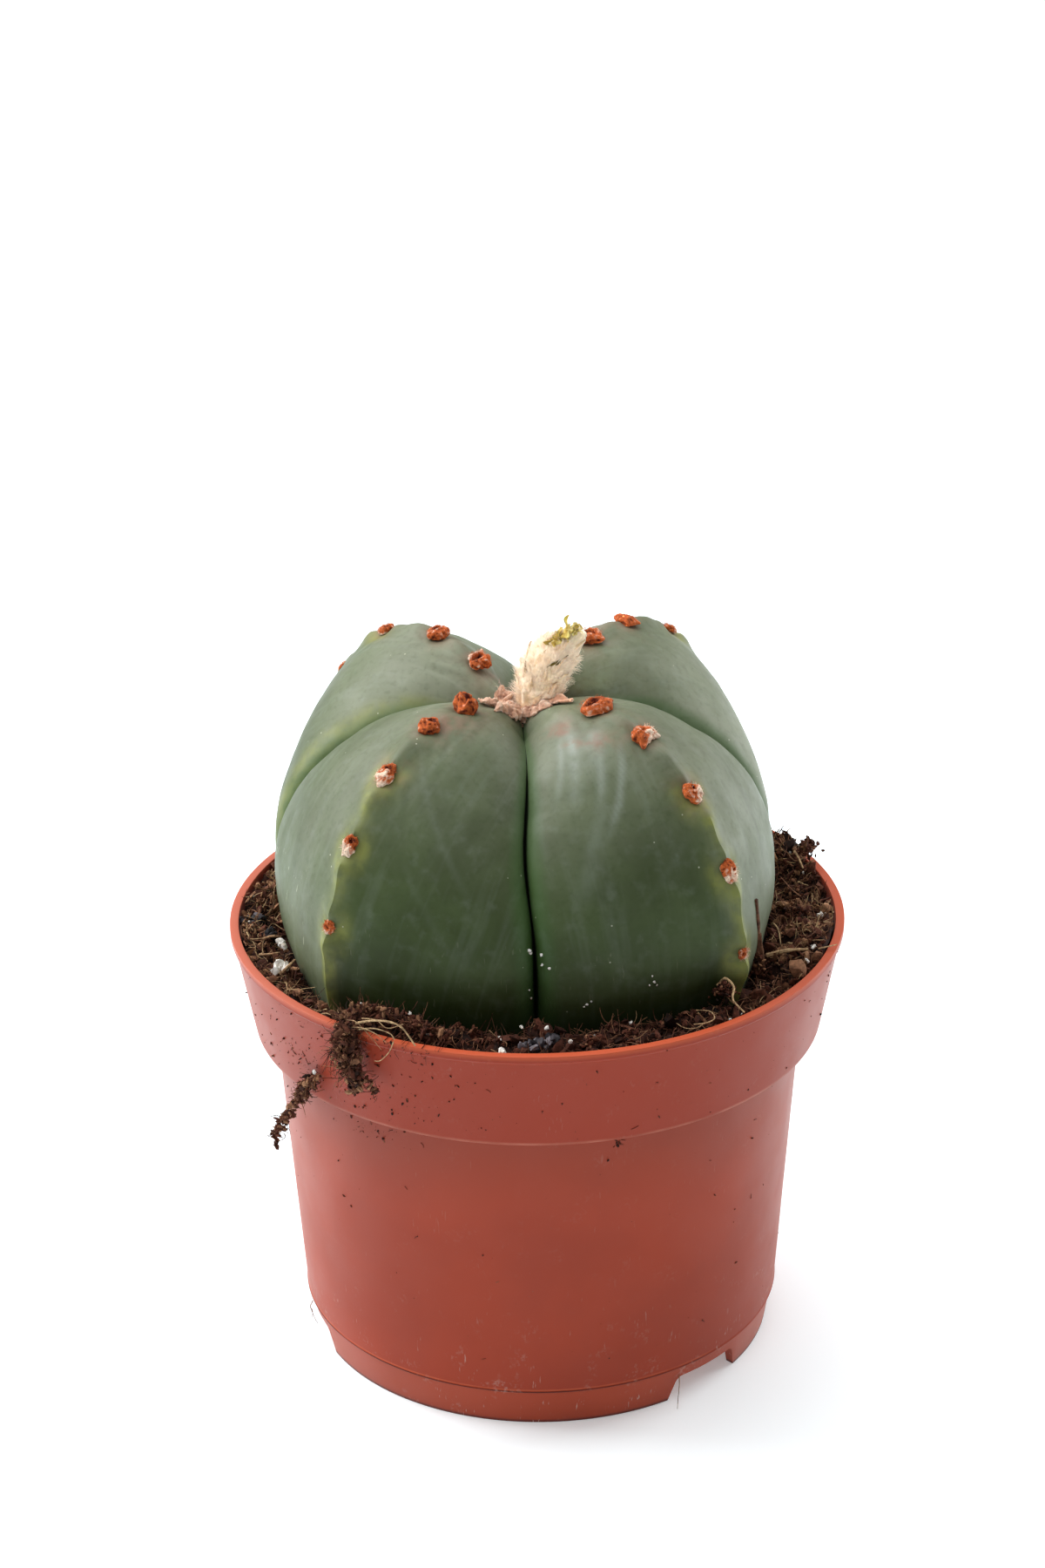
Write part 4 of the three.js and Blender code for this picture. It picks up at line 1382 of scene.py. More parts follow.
    def build_specks(self) -> Piece:
        """Flecks of peat that cling to the pot's outside, most of them below the clump."""
        pot, heap = self.pot, Heap(33)
        draw = heap.draw
        azimuth = np.concatenate([
            draw.normal(236, 14, 190), draw.uniform(195, 345, 120), draw.uniform(0, 360, 60),
            draw.normal(232, 7, 60), draw.normal(217, 3, 40), draw.normal(286.6, 0.5, 26),
        ])
        z = np.concatenate([
            draw.uniform(60, 76, 250), draw.uniform(8, 76, 120), draw.uniform(53, 58.5, 60),
            draw.normal(66.5, 1.6, 40), draw.normal(56.4, 0.7, 26),
        ])
        # None hang from the collar's lower edge
        z = np.where(np.abs(z - pot.collar_bottom) < 0.8, pot.collar_bottom + 3, z)
        places = polar(pot.radius_at(z) + 0.03, azimuth, z)
        sizes = 0.08 + 0.42 * draw.uniform(0, 1, len(z)) ** 4
        heap.crumbs(places, sizes, (1.0, 0.5, 0.35), draw.beta(1.5, 3, len(z)))
        # Short fibres stick to the wall among them
        count, steps, clear = 60, 5, 0.06
        fine = draw.permutation(len(z))[:count]
        start = polar(pot.radius_at(z[fine]) + clear, azimuth[fine], z[fine])
        tangent = polar(1.0, azimuth[fine] + 90, 0.0) * draw.normal(size=(count, 1))
        heading = tangent + np.array([0, 0, 1]) * draw.normal(size=(count, 1))
        paths = wander(draw, start, heading, draw.uniform(0.4, 1.3, count), steps, 0.2)
        reach = pot.radius_at(paths[..., 2]) + clear
        paths[..., :2] *= (reach / np.hypot(paths[..., 0], paths[..., 1]))[..., None]
        heap.strands(paths, np.full((count, steps), 0.045), draw.beta(1.5, 3, count)[:, None])
        return heap.object("peat_specks")


@dataclass
class Clump:
    """Matted peat and roots along a line, thicker in some places than in others."""

    line: tuple[tuple[float, float, float, float], ...]
    crumbs: int
    fibres: int
    seed: int
    droop: float = 0.35
    steps: int = 6

    def build(self, name: str, pot: Pot) -> Piece:
        """Makes the clump.

        Args:
            name: the object's name.
            pot: the pot whose wall it stays outside.

        Returns:
            The clump.
        """
        heap = Heap(self.seed)
        draw = heap.draw
        places, _ = self.spots(draw, self.crumbs, 0.85)
        self.push(places, pot)
        sizes = draw.uniform(0.25, 0.95, self.crumbs)
        heap.crumbs(places, sizes, (1.0, 0.55, 0.35), draw.beta(2.2, 1.9, self.crumbs))
        start, reach = self.spots(draw, self.fibres, 1.0)
        heading = draw.normal(size=start.shape) + (0, 0, -self.droop)
        length = draw.uniform(0.35, 1.1, self.fibres) * (reach + 0.9)
        paths = wander(draw, start, heading, length, self.steps, 0.3)
        self.push(paths, pot)
        thin = taper(draw.uniform(0.035, 0.1, self.fibres), 0.5, self.steps)
        heap.strands(paths, thin, draw.beta(1.6, 2.2, self.fibres)[:, None])
        return heap.object(name)

    def spots(self, draw: Draws, count: int, spread: float) -> tuple[Array, Array]:
        """Random places round the line.

        Args:
            draw: the random numbers.
            count: how many places.
            spread: how far out they reach, as a share of the clump's radius.

        Returns:
            The places, and the clump's radius at each.
        """
        line = np.array(self.line)
        mass = line[:, 3] ** 2 / (line[:, 3] ** 2).sum()
        pick = draw.choice(len(line), count, p=mass)
        step = np.clip(pick + draw.choice([-1, 1], count), 0, len(line) - 1)
        share = draw.uniform(0, 0.5, count)[:, None]
        chosen = line[pick] * (1 - share) + line[step] * share
        offset = normed(draw.normal(size=(count, 3)))
        reach = chosen[:, 3] * spread * draw.uniform(0.15, 1, count) ** 0.6
        return chosen[:, :3] + offset * reach[:, None], chosen[:, 3]

    def push(self, places: Array, pot: Pot) -> None:
        """Pushes places out of the pot's wall, or above its rim.

        Args:
            places: the places, which are changed.
            pot: the pot.
        """
        flat = places.reshape(-1, 3)
        radius = np.hypot(flat[:, 0], flat[:, 1])
        wall = pot.radius_at(flat[:, 2]) + 0.3
        low = (flat[:, 2] < pot.height + 0.2) & (radius < wall)
        over = low & (radius > pot.rim_radius - pot.rim_width - 0.3) & (flat[:, 2] > pot.height - 2.5)
        aside = low & ~over & (radius > pot.rim_radius - 4)
        flat[over, 2] = pot.height + 0.25 + (flat[over, 2] - pot.height + 2.5) * 0.2
        flat[aside, :2] *= (wall[aside] / radius[aside])[:, None]
        places[...] = flat.reshape(places.shape)


SPILL = Clump(
    line=((-15.0, -44.4, 76.6, 1.5), (-19.5, -42.6, 77.4, 2.3), (-24.0, -40.4, 77.8, 2.7),
          (-27.5, -38.0, 77.4, 2.6), (-29.6, -40.5, 78.4, 2.8), (-31.0, -42.8, 78.2, 2.5),
          (-31.6, -44.2, 76.2, 2.6), (-31.4, -45.0, 73.6, 2.9), (-30.3, -45.3, 71.2, 2.3),
          (-29.8, -44.7, 68.8, 1.5), (-30.6, -43.2, 66.4, 0.9), (-28.2, -45.6, 70.4, 0.9),
          (-27.0, -45.8, 68.4, 0.7), (-26.4, -45.8, 66.8, 0.4)),
    crumbs=1150, fibres=950, seed=15)
CAUGHT = Clump(
    line=((-37.0, -35.9, 65.2, 1.0), (-38.0, -35.0, 63.6, 1.7), (-39.0, -34.2, 61.6, 1.7),
          (-40.2, -33.0, 59.2, 1.1), (-41.4, -31.8, 56.8, 1.0), (-42.6, -30.6, 54.4, 1.3),
          (-43.6, -29.6, 52.4, 1.5), (-44.4, -28.6, 50.2, 0.7), (-44.4, -28.6, 48.2, 0.35)),
    crumbs=230, fibres=200, seed=71, droop=0.5)


def curve_through(points: Array, steps: int) -> Array:
    """A smooth line through a few points.

    Args:
        points: the points.
        steps: how many places on the line.

    Returns:
        The line's places.
    """
    padded = np.vstack([2 * points[0] - points[1], points, 2 * points[-1] - points[-2]])
    at = np.linspace(0, len(points) - 1 - 1e-6, steps)
    index = at.astype(int)
    return spline([padded[index + k] for k in range(4)], (at - index)[:, None])


# Straws and roots as points in millimetres, a thickness and a tint from dark to pale
STRAWS = (
    (((-29.5, -44.5, 79.6), (-27.0, -46.0, 80.8), (-24.5, -47.0, 81.2), (-22.3, -47.6, 80.6),
      (-20.9, -48.2, 79.0), (-19.9, -49.0, 77.7)), 0.21, 0.9),
    (((-29.0, -45.5, 79.0), (-26.5, -46.8, 79.8), (-24.0, -47.6, 79.3),
      (-23.2, -48.2, 78.4)), 0.12, 0.9),
    (((-30.2, -44.0, 78.6), (-28.4, -46.2, 79.6), (-26.2, -47.2, 79.0),
      (-24.6, -48.0, 77.9)), 0.10, 0.75),
    (((-28.6, -44.0, 80.2), (-26.2, -45.4, 80.6), (-24.4, -46.4, 79.6),
      (-21.8, -46.2, 80.2)), 0.09, 0.85),
    (((-31.0, -43.0, 79.4), (-29.4, -45.6, 80.4), (-27.2, -46.8, 78.4),
      (-25.4, -47.8, 76.4)), 0.08, 0.7),
    (((-23.4, -47.9, 78.0), (-24.2, -48.2, 76.2), (-25.6, -48.0, 74.6),
      (-26.6, -47.4, 74.2)), 0.10, 0.8),
    (((38.2, -18.6, 77.6), (41.8, -18.2, 78.3), (45.2, -17.3, 78.0)), 0.40, 0.85),
    (((39.7, -7.8, 78.0), (39.9, -9.4, 78.9), (40.6, -11.4, 78.7), (40.8, -14.7, 77.7)), 0.17, 0.9),
    (((45.0, 15.1, 80.6), (45.5, 13.0, 80.6), (46.2, 10.5, 79.6)), 0.25, 0.8),
    (((29.4, -30.8, 78.5), (30.6, -31.6, 80.2), (31.9, -34.0, 79.8), (31.6, -36.7, 78.9),
      (33.4, -38.8, 77.6)), 0.24, 0.85),
    (((25.0, -42.7, 77.6), (27.1, -42.7, 77.9), (28.4, -41.7, 78.2), (27.7, -39.9, 78.5),
      (25.5, -38.9, 78.2)), 0.12, 0.85),
    (((36.2, -20.6, 75.8), (36.5, -20.2, 79.5), (36.5, -19.9, 84.0), (36.2, -19.6, 88.6)), 0.62, 0.2),
    (((37.5, -20.8, 75.8), (37.3, -20.2, 79.0), (36.9, -20.0, 82.5)), 0.40, 0.25),
    (((35.2, -20.6, 75.8), (35.6, -20.2, 80.0), (35.5, -19.9, 83.5), (35.0, -19.7, 86.6)), 0.14, 0.2),
    (((46.5, 14.5, 80.0), (46.8, 14.3, 82.0), (47.2, 14.0, 83.6)), 0.30, 0.3),
    (((36.0, 27.0, 80.5), (38.5, 26.5, 81.8), (40.5, 25.0, 81.6)), 0.16, 0.4),
    (((47.0, -16.5, 77.7), (48.6, -16.0, 77.8), (50.2, -15.2, 77.8)), 0.16, 0.95),
    (((-43.0, -20.5, 76.2), (-41.6, -19.8, 77.4), (-40.6, -18.0, 77.6)), 0.30, 0.75),
    (((-46.5, -6.5, 75.8), (-45.0, -7.5, 76.8), (-43.5, -7.5, 76.6)), 0.28, 0.7),
    (((-47.0, -12.0, 75.6), (-45.0, -13.4, 76.4), (-43.4, -13.2, 76.6)), 0.20, 0.75),
    (((23.3, -33.3, 5.2), (23.3, -34.6, 3.6), (23.0, -36.2, 1.6), (22.9, -36.9, 0.25)), 0.09, 0.6),
    (((-40.0, -14.6, 9.0), (-40.6, -13.4, 7.0), (-40.3, -12.0, 5.4), (-40.4, -11.3, 3.4)), 0.08, 0.5),
    (((-40.6, -13.4, 7.0), (-39.8, -14.8, 5.6), (-39.2, -15.2, 4.6)), 0.06, 0.5),
)
# Clots of peat as a place, a height and a width
TUFTS = (
    (36.4, -20.6, 75.6, 3.6, 2.6), (30.4, -31.8, 77.2, 2.4, 2.4), (46.8, 15.0, 80.0, 2.4, 2.0),
    (47.6, 18.5, 79.5, 2.0, 2.2), (-16.0, -42.0, 75.5, 1.8, 2.4), (44.5, -2.0, 76.8, 1.6, 3.0),
    (8.0, -44.5, 75.0, 1.6, 2.4), (40.0, 25.0, 79.0, 2.2, 2.4), (14.5, -42.5, 75.0, 1.8, 2.0),
)
# Perlite as a place, a size and how many pieces it is broken into
GRAINS = (
    (-43.4, -10.3, 77.0, 1.25, 3), (-42.7, -19.0, 76.6, 1.5, 5), (-6.0, -49.6, 76.6, 0.95, 1),
    (48.2, -4.1, 77.9, 0.75, 2), (46.4, -10.6, 77.8, 0.45, 1), (44.8, -20.5, 77.3, 0.5, 3),
    (1.2, -42.4, 77.2, 0.4, 1), (-3.0, -42.0, 77.0, 0.45, 2), (-16.1, -40.7, 76.4, 0.38, 1),
    (-17.9, -43.0, 76.7, 0.5, 2), (-28.9, -38.1, 79.6, 0.45, 1), (-21.0, -39.8, 78.6, 0.42, 1),
    (5.0, -45.5, 76.3, 0.4, 1), (-6.5, -44.0, 76.3, 0.4, 1), (-37.0, -35.9, 66.0, 0.35, 1),
)
# Grains on the skin in and beside the front furrow: distance down the crest, azimuth and size
SPRINKLED = (
    (63.2, 271.2, 0.34), (63.9, 271.4, 0.30), (64.0, 274.2, 0.32), (66.2, 274.2, 0.26),
    (66.4, 275.6, 0.24), (70.6, 270.9, 0.20), (72.4, 271.3, 0.18), (70.5, 298.0, 0.30),
    (71.2, 298.6, 0.24), (69.4, 297.6, 0.20), (71.0, 297.0, 0.16), (72.9, 283.4, 0.28),
    (72.5, 284.4, 0.2), (73.3, 282.8, 0.18),
)
# Charcoal as a place, a width and how many pieces it has
COALS = (
    (-48.6, 0.2, 76.0, 2.4, 16), (-45.5, -4.6, 75.6, 1.6, 6), (-0.5, -45.2, 75.6, 2.6, 20),
    (2.5, -44.0, 76.2, 1.4, 7),
)


@dataclass(frozen=True)
class Areole:
    """One woolly button: its half width and height, its hollow, how cream it is and its loose ends.

    The hollow is a place, its half sizes and a depth, as shares of the button. Angles count from the
    button's side axis, turning up the crest.
    """

    wide: float
    high: float
    hollow: tuple[float, float, float, float, float] = (0.05, 0.1, 0.35, 0.3, 0.3)
    cream: float = 0.3
    cream_way: float = -90.0
    ends: tuple[Triple, ...] = ()
    tall: float = 1.0


# Each rib's buttons from the crown down
AREOLES = (
    (Areole(2.3, 1.9, (0.2, -0.30, 0.60, 0.26, 0.9), 0.5, -80, ((190, 0.4, 22),)),
     Areole(2.15, 1.5, (-0.1, -0.3, 0.6, 0.2, 0.4), 0.1, -90, ((215, 0.45, 20),)),
     Areole(1.35, 1.3, cream=0.5), Areole(1.1, 1.1, cream=0.6), Areole(1.0, 1.0, cream=0.6)),
    (Areole(2.1, 1.9, (0.05, -0.30, 0.68, 0.24, 0.9), 0.5, -80, ((222, 0.75, 9),)),
     Areole(2.1, 1.8, (0.0, -0.3, 0.5, 0.2, 0.5), 0.2), Areole(1.5, 1.5, cream=0.4),
     Areole(1.2, 1.3, cream=0.6), Areole(1.0, 1.0, cream=0.6)),
    (Areole(2.05, 1.75, (0.1, 0.15, 0.4, 0.3, 0.3), 0.02, -90, ((-72, 1.0, 17), (60, 0.15, 30)), 2.0),
     Areole(1.75, 1.6, (0.2, 0.3, 0.35, 0.3, 0.35), 0.04, -90, ((165, 0.45, 22), (-95, 0.35, 30)), 1.5),
     Areole(1.55, 2.15, (0.0, 0.42, 0.42, 0.2, 0.35), 0.8, -95, ((-85, 0.2, 25),)),
     Areole(1.3, 1.8, (0.3, 0.4, 0.32, 0.3, 0.6), 1.0, -110, ((-112, 0.45, 14), (-60, 0.2, 14))),
     Areole(1.15, 1.2, (0.0, 0.0, 0.3, 0.3, 0.1), 0.35)),
    (Areole(3.0, 2.3, (-0.15, 0.22, 0.46, 0.36, 1.0), 0.2, 200, ((0, 0.3, 20),)),
     Areole(2.45, 1.8, (-0.05, 0.2, 0.14, 0.12, 0.3), 0.85, -35, ((-128, 0.75, 11), (-38, 0.35, 13))),
     Areole(1.75, 1.85, (0.1, 0.35, 0.16, 0.3, 0.3), 0.8, -30),
     Areole(1.5, 2.05, (0.3, 0.05, 0.2, 0.12, 0.3), 0.9, -70, ((-115, 0.15, 25),)),
     Areole(1.1, 1.1, (-0.3, 0.0, 0.3, 0.2, 0.3), 0.9, -30)),
)


@dataclass
class Buttons:
    """The woolly areoles along the crests."""

    stem: Stem
    facets: tuple[int, int] = (56, 36)
    hairs: int = 130
    outline: tuple[Triple, ...] = (
        (0, 0, 0.62), (0.16, 0.30, 0.61), (0.32, 0.58, 0.56), (0.46, 0.80, 0.44), (0.58, 0.96, 0.22),
        (0.68, 1.0, 0.02), (0.80, 0.90, -0.22), (1.0, 0.0, -0.4),
    )

    def build(self) -> tuple[Piece, Piece]:
        """Makes every areole and its hairs, one object each."""
        heap, hair = Heap(41), Heap(43)
        ball = Tool.ball(*self.facets)
        unit = Tool.points(ball)
        faces = [tuple(p.vertices) for p in ball.data.polygons]
        bpy.data.objects.remove(ball, do_unlink=True)
        triangles = np.array([f for f in faces if len(f) == 3])
        quads = np.array([f for f in faces if len(f) == 4])
        for number, (rib, row) in enumerate(zip(RIBS, AREOLES)):
            for k, one in enumerate(row):
                frame, place = self.frame(rib, k)
                local, tint = self.form(unit, one, number * 7.1 + k * 1.9)
                steps = heap.count
                heap.add((place + local @ frame)[None], quads, tint[None])
                heap.faces.extend((triangles + steps).tolist())
                self.fuzz(hair, frame, place, one)
        return heap.object("areoles"), hair.object("areole_hairs")

    def frame(self, rib: Rib, k: int) -> tuple[Array, Array]:
        """Where a button stands.

        Args:
            rib: its rib.
            k: its number down the crest.

        Returns:
            Axes sideways, up the crest and outwards, and its place.
        """
        stem = self.stem
        down = np.array([rib.button(k)])
        azimuth = np.array([rib.azimuth])
        place = stem.point(down, azimuth)[0]
        up = stem.point(down - 0.5, azimuth)[0] - stem.point(down + 0.5, azimuth)[0]
        up /= np.linalg.norm(up)
        side = np.array([-math.sin(math.radians(rib.azimuth)), math.cos(math.radians(rib.azimuth)), 0])
        out = np.cross(side, up)
        out = -out if out @ (place - np.array([*stem.axis, 90])) < 0 else out
        return np.stack([side, up, out]), place

    def form(self, unit: Array, one: Areole, seed: float) -> tuple[Array, Array]:
        """A spongy cushion of wool with a hollow and loose ends.

        Args:
            unit: points of a unit ball.
            one: the button's shape.
            seed: sets its lumps apart from the others'.

        Returns:
            Its points, and how pale each is.
        """
        at, reach, rise = np.array(self.outline).T
        share = Tool.tilt(unit) / math.pi
        turn = np.arctan2(unit[:, 1], unit[:, 0])
        compass = np.stack([np.cos(turn), np.sin(turn), 0 * turn], -1)
        radial = np.interp(share, at, reach)
        lumps = rough(compass * radial[:, None] * 1.3, 1.0, seed, 2)
        spread = 1 + 0.22 * lumps * radial
        for angle, long, width in one.ends:
            apart = (np.degrees(turn) - angle + 180) % 360 - 180
            spread += long * bell(apart / width) * radial ** 2
        x, y = radial * np.cos(turn), radial * np.sin(turn)
        cx, cy, rx, ry, deep = one.hollow
        bowl = bell((x - cx) / rx, (y - cy) / ry) * smooth(0.7, 0.5, share)
        size = math.sqrt(one.wide * one.high) * one.tall
        high = np.interp(share, at, rise) * (1 + 0.4 * lumps) / spread ** 1.2 - deep * bowl
        local = np.stack([x * spread * one.wide, y * spread * one.high, high * size], -1)
        sponge = rough(local, 0.85, seed + 3, 3)
        fine = rough(local, 0.4, seed + 9, 2)
        local += unit * (0.24 * sponge + 0.12 * fine)[:, None]
        way = math.radians(one.cream_way)
        toward = x * math.cos(way) + y * math.sin(way)
        toward = toward + 0.3 * sponge + 0.25 * smooth(0.5, 0.2, radial)
        creamy = one.cream * smooth(-0.25, 0.4, toward)
        tint = 0.32 + 0.12 * min(one.cream * 5, 1) + 0.40 * sponge + 0.28 * fine
        # The hollow is painted dark, as the shade inside it
        tint = tint + 0.5 * creamy - 0.8 * bowl * (0.4 + deep)
        # The cushion's outer foot is painted darker, as shade where it meets the skin
        tint -= 0.2 * smooth(0.9, 1.05, radial) * smooth(0.55, 0.7, share)
        return local, np.clip(tint, 0, 1)

    def fuzz(self, hair: Heap, frame: Array, place: Array, one: Areole) -> None:
        """Short hairs round a button's ring.

        Args:
            hair: the heap that takes them.
            frame: the button's axes.
            place: its middle.
            one: the button's shape.
        """
        count, steps = self.hairs, 4
        draw = hair.draw
        turn = draw.uniform(0, 2 * math.pi, count)
        ring = draw.uniform(0.45, 1.0, count)
        root = np.stack([np.cos(turn) * ring * one.wide, np.sin(turn) * ring * one.high,
                         (0.55 - 0.4 * ring ** 3) * math.sqrt(one.wide * one.high)], -1)
        heading = np.stack([np.cos(turn) * ring, np.sin(turn) * ring - 0.3, np.full(count, 0.7)], -1)
        heading += draw.normal(size=heading.shape) * 0.5
        length = draw.uniform(0.25, 0.75, count)
        paths = wander(draw, place + root @ frame, heading @ frame, length, steps, 0.25)
        thin = taper(draw.uniform(0.02, 0.035, count), 0.4, steps)
        way = math.radians(one.cream_way)
        creamy = one.cream * (np.cos(turn - way) > -0.2)
        tint = np.clip(0.45 + 0.45 * creamy + draw.normal(0, 0.12, count), 0, 1)
        hair.strands(paths, thin, tint[:, None])


@dataclass
class Crown:
    """The spent flower and the matted wool that it stands in, on top of a stem."""

    stem: Stem
    path: tuple[Triple, ...] = (
        (-1.6, 5.8, 112.0), (0.9, 5.8, 117.2), (3.1, 5.9, 121.8), (8.3, 6.0, 126.6),
    )
    radii: tuple[float, ...] = (1.7, 3.9, 3.7, 0.8)
    tufts: int = 270
    tuft_hairs: int = 18
    silks: int = 190
    bracts: int = 34
    petals: int = 24
    # The line along the mouth's upper edge that the petals stand on
    petal_line: tuple[Triple, Triple] = ((2.4, 4.6, 124.4), (7.5, 4.6, 126.8))
    wisps: int = 700

    def radius(self, along: Array) -> Array:
        """The tube's radius, from base (0) to mouth (1)."""
        return np.interp(along, np.linspace(0, 1, len(self.radii)), self.radii)

    def axis(self, along: Array) -> Array:
        """Points on the tube's axis, from base (0) to mouth (1)."""
        line = curve_through(np.array(self.path), 60)
        at = np.linspace(0, 1, 60)
        return np.stack([np.interp(along, at, line[:, i]) for i in range(3)], -1)

    def frame(self, along: Array) -> tuple[Array, Array, Array]:
        """The tube's direction and two directions across it."""
        way = normed(self.axis(np.minimum(along + 0.02, 1)) - self.axis(np.maximum(along - 0.02, 0)))
        side = normed(np.cross(np.array([0.0, 1.0, 0.0]), way))
        return way, side, np.cross(way, side)

    def skin(self, along: Array, turn: Array, out: Array) -> Array:
        """Points round the tube, moved out by some millimetres."""
        _, side, front = self.frame(along)
        radius = self.radius(along) + out
        return (self.axis(along) + side * (radius * np.cos(turn))[..., None]
                + front * (radius * np.sin(turn))[..., None])

    def build_tube(self) -> Piece:
        """The tube under its hairs."""
        tube = Tool.ball(96, 72)
        unit = Tool.points(tube)
        tilt = Tool.tilt(unit) / math.pi
        turn = np.arctan2(unit[:, 1], unit[:, 0])
        along = np.clip((1 - tilt) * 1.2 - 0.1, 0, 1)
        closing = smooth(0.0, 0.09, np.minimum(tilt, 1 - tilt))
        out = self.radius(along) * (closing - 1)
        ridged = 0.1 * np.sin(turn * 9 + along * 14) * closing
        places = self.skin(along, turn, out + ridged)
        places += unit * (0.3 * rough(places, 1.5, 2.0) * closing)[:, None]
        Tool.shape(tube, places)
        Tool.paint(tube, "tint", np.clip(0.86 + 0.3 * rough(places, 1.1, 6.0)
                                         - 0.6 * smooth(0.2, 0.0, along), 0, 1))
        return tube

    def build_hairs(self) -> Piece:
        """Cream wool in tufts that lean up and to the left, and silk that is drawn to the mouth."""
        heap = Heap(51)
        draw = heap.draw
        tufts, each, steps = self.tufts, self.tuft_hairs, 5
        count = tufts * each
        along = np.repeat(draw.uniform(0.03, 0.82, tufts), each) + draw.normal(0, 0.03, count)
        turn = np.repeat(draw.uniform(0, 2 * math.pi, tufts), each) + draw.normal(0, 0.14, count)
        along = np.clip(along, 0.02, 0.9)
        root = self.skin(along, turn, np.full(count, -0.3))
        away = normed(root - self.axis(along))
        way, _, _ = self.frame(along)
        lean = np.repeat(draw.normal(size=(tufts, 3)) * 0.35, each, axis=0)
        heading = way * 0.85 + away * 0.75 + lean + (-0.38, 0.0, 0.15)
        heading = heading + draw.normal(size=root.shape) * 0.13
        length = np.repeat(draw.uniform(1.3, 3.0, tufts), each) * draw.uniform(0.75, 1.1, count)
        length *= np.interp(along, (0, 0.2, 0.7, 0.9), (0.6, 1.0, 1.05, 0.7))
        paths = wander(draw, root, heading, length, steps, 0.10)
        bundle = paths.reshape(tufts, each, steps, 3)
        drawn = (np.linspace(0, 1, steps) ** 1.4 * 0.5)[None, None, :, None]
        bundle = bundle * (1 - drawn) + bundle.mean(axis=1, keepdims=True) * drawn
        paths = bundle.reshape(-1, steps, 3)
        thin = taper(draw.uniform(0.025, 0.055, count), 0.35, steps)
        tint = np.repeat(draw.normal(0.92, 0.12, tufts), each) + draw.normal(0, 0.06, count)
        # Each hair is painted darker towards its root, as the shade deep in the wool
        tint = tint[:, None] - 0.18 * np.linspace(1, 0, steps)
        tint = tint - 0.45 * smooth(0.2, 0.02, along)[:, None]
        heap.strands(paths, thin, np.clip(tint, 0, 1))
        self.silk(heap)
        return heap.object("flower_hairs")

    def silk(self, heap: Heap) -> None:
        """Adds silk that lies straight along the right side and the front, up to the mouth."""
        draw = heap.draw
        count, steps = self.silks, 7
        start = draw.uniform(0.42, 0.92, count)
        turn = draw.uniform(-2.0, 0.6, count)
        t = np.linspace(0, 1, steps)[None]
        at = start[:, None] + (1 - start[:, None]) * t * draw.uniform(0.45, 1.0, (count, 1))
        turns = turn[:, None] + 0.25 * draw.normal(size=(count, 1)) * t
        lift = 0.05 + draw.uniform(0.05, 0.5, (count, 1)) * np.sin(math.pi * np.clip(t, 0, 0.9))
        silk = self.skin(at, turns, lift)
        silk += draw.normal(size=silk.shape) * 0.05
        thin = taper(draw.uniform(0.03, 0.06, count), 0.5, steps)
        heap.strands(silk, thin, np.clip(draw.normal(0.95, 0.06, (count, 1)), 0, 1))

    def build_scales(self) -> Piece:
        """Pointed bracts in a spiral, lying along the tube, almost hidden in the wool."""
        heap = Heap(53)
        draw = heap.draw
        rows, wide = 9, 4
        faces = heap.plate(rows, wide)
        t = np.linspace(0, 1, rows)
        across = np.linspace(-1, 1, wide)
        for i in range(self.bracts):
            along = 0.12 + 0.74 * i / self.bracts
            # Each stands the golden angle on from the last, in radians
            turn = i * 2.4
            breadth = 0.5 * np.sin(np.pi * np.clip(t * 0.75 + 0.22, 0, 1)) * (1 - t ** 4)
            at = np.clip(along + 0.18 * t, 0, 1)
            turns = turn + across[None] * (breadth / self.radius(at))[:, None]
            lift = 0.2 + 0.9 * t[:, None] ** 2 - 0.2 * across[None] ** 2
            at = np.repeat(at[:, None], wide, 1)
            tint = np.concatenate([np.repeat(0.2 + 0.35 * (1 - t), wide)] * 2) + draw.uniform(-0.1, 0.1)
            heap.sheet(self.skin(at, turns, lift), self.skin(at, turns, lift - 0.12), faces,
                       np.clip(tint, 0, 1))
        return heap.object("flower_scales")

    def build_petals(self) -> Piece:
        """Shrivelled yellow petals along the mouth's upper edge, and below them two dark sheets,
        painted shade in slits in the wool.
        """
        heap = Heap(57)
        draw = heap.draw
        rows, wide = 16, 5
        faces = heap.plate(rows, wide)
        t = np.linspace(0, 1, rows)[:, None]
        across = np.linspace(-1, 1, wide)[None]
        first, last = np.array(self.petal_line)
        for i in range(self.petals):
            share = (i + 0.5) / self.petals
            base = first * (1 - share) + last * share + draw.normal(size=3) * (0.15, 0.7, 0.15)
            length = 1.3 + 2.9 * bell((share - 0.55) / 0.2) * draw.uniform(0.7, 1.05)
            way = np.array([draw.uniform(-0.1, 0.5), draw.normal() * 0.25, 1.0])
            way /= np.linalg.norm(way)
            out = np.cross(way, draw.normal(size=3))
            out /= np.linalg.norm(out)
            round_ = np.cross(way, out)
            breadth = draw.uniform(0.35, 0.7) * np.sin(np.pi * (0.25 + 0.68 * t))
            breadth = breadth * (1 + 0.3 * np.sin(9 * t + i))
            twist = draw.uniform(-2.6, 2.6) * t + 0.6 * np.sin(7 * t + i)
            centre = (way * (length * t)[..., None] + out * (0.35 * np.sin(6 * t + i))[..., None]
                      + round_ * (0.35 * np.sin(5 * t + 2 * i))[..., None])
            flat = round_ * np.cos(twist)[..., None] + out * np.sin(twist)[..., None]
            up = out * np.cos(twist)[..., None] - round_ * np.sin(twist)[..., None]
            sheet = base + centre + flat * (breadth * across)[..., None]
            sheet = sheet + up * (0.2 * np.sin(8 * t + 2.2 * across + i))[..., None]
            tint = np.clip(0.48 + 0.3 * np.sin(6 * t + i) + 0.2 * across + 0.15 * (1 - t), 0, 1)
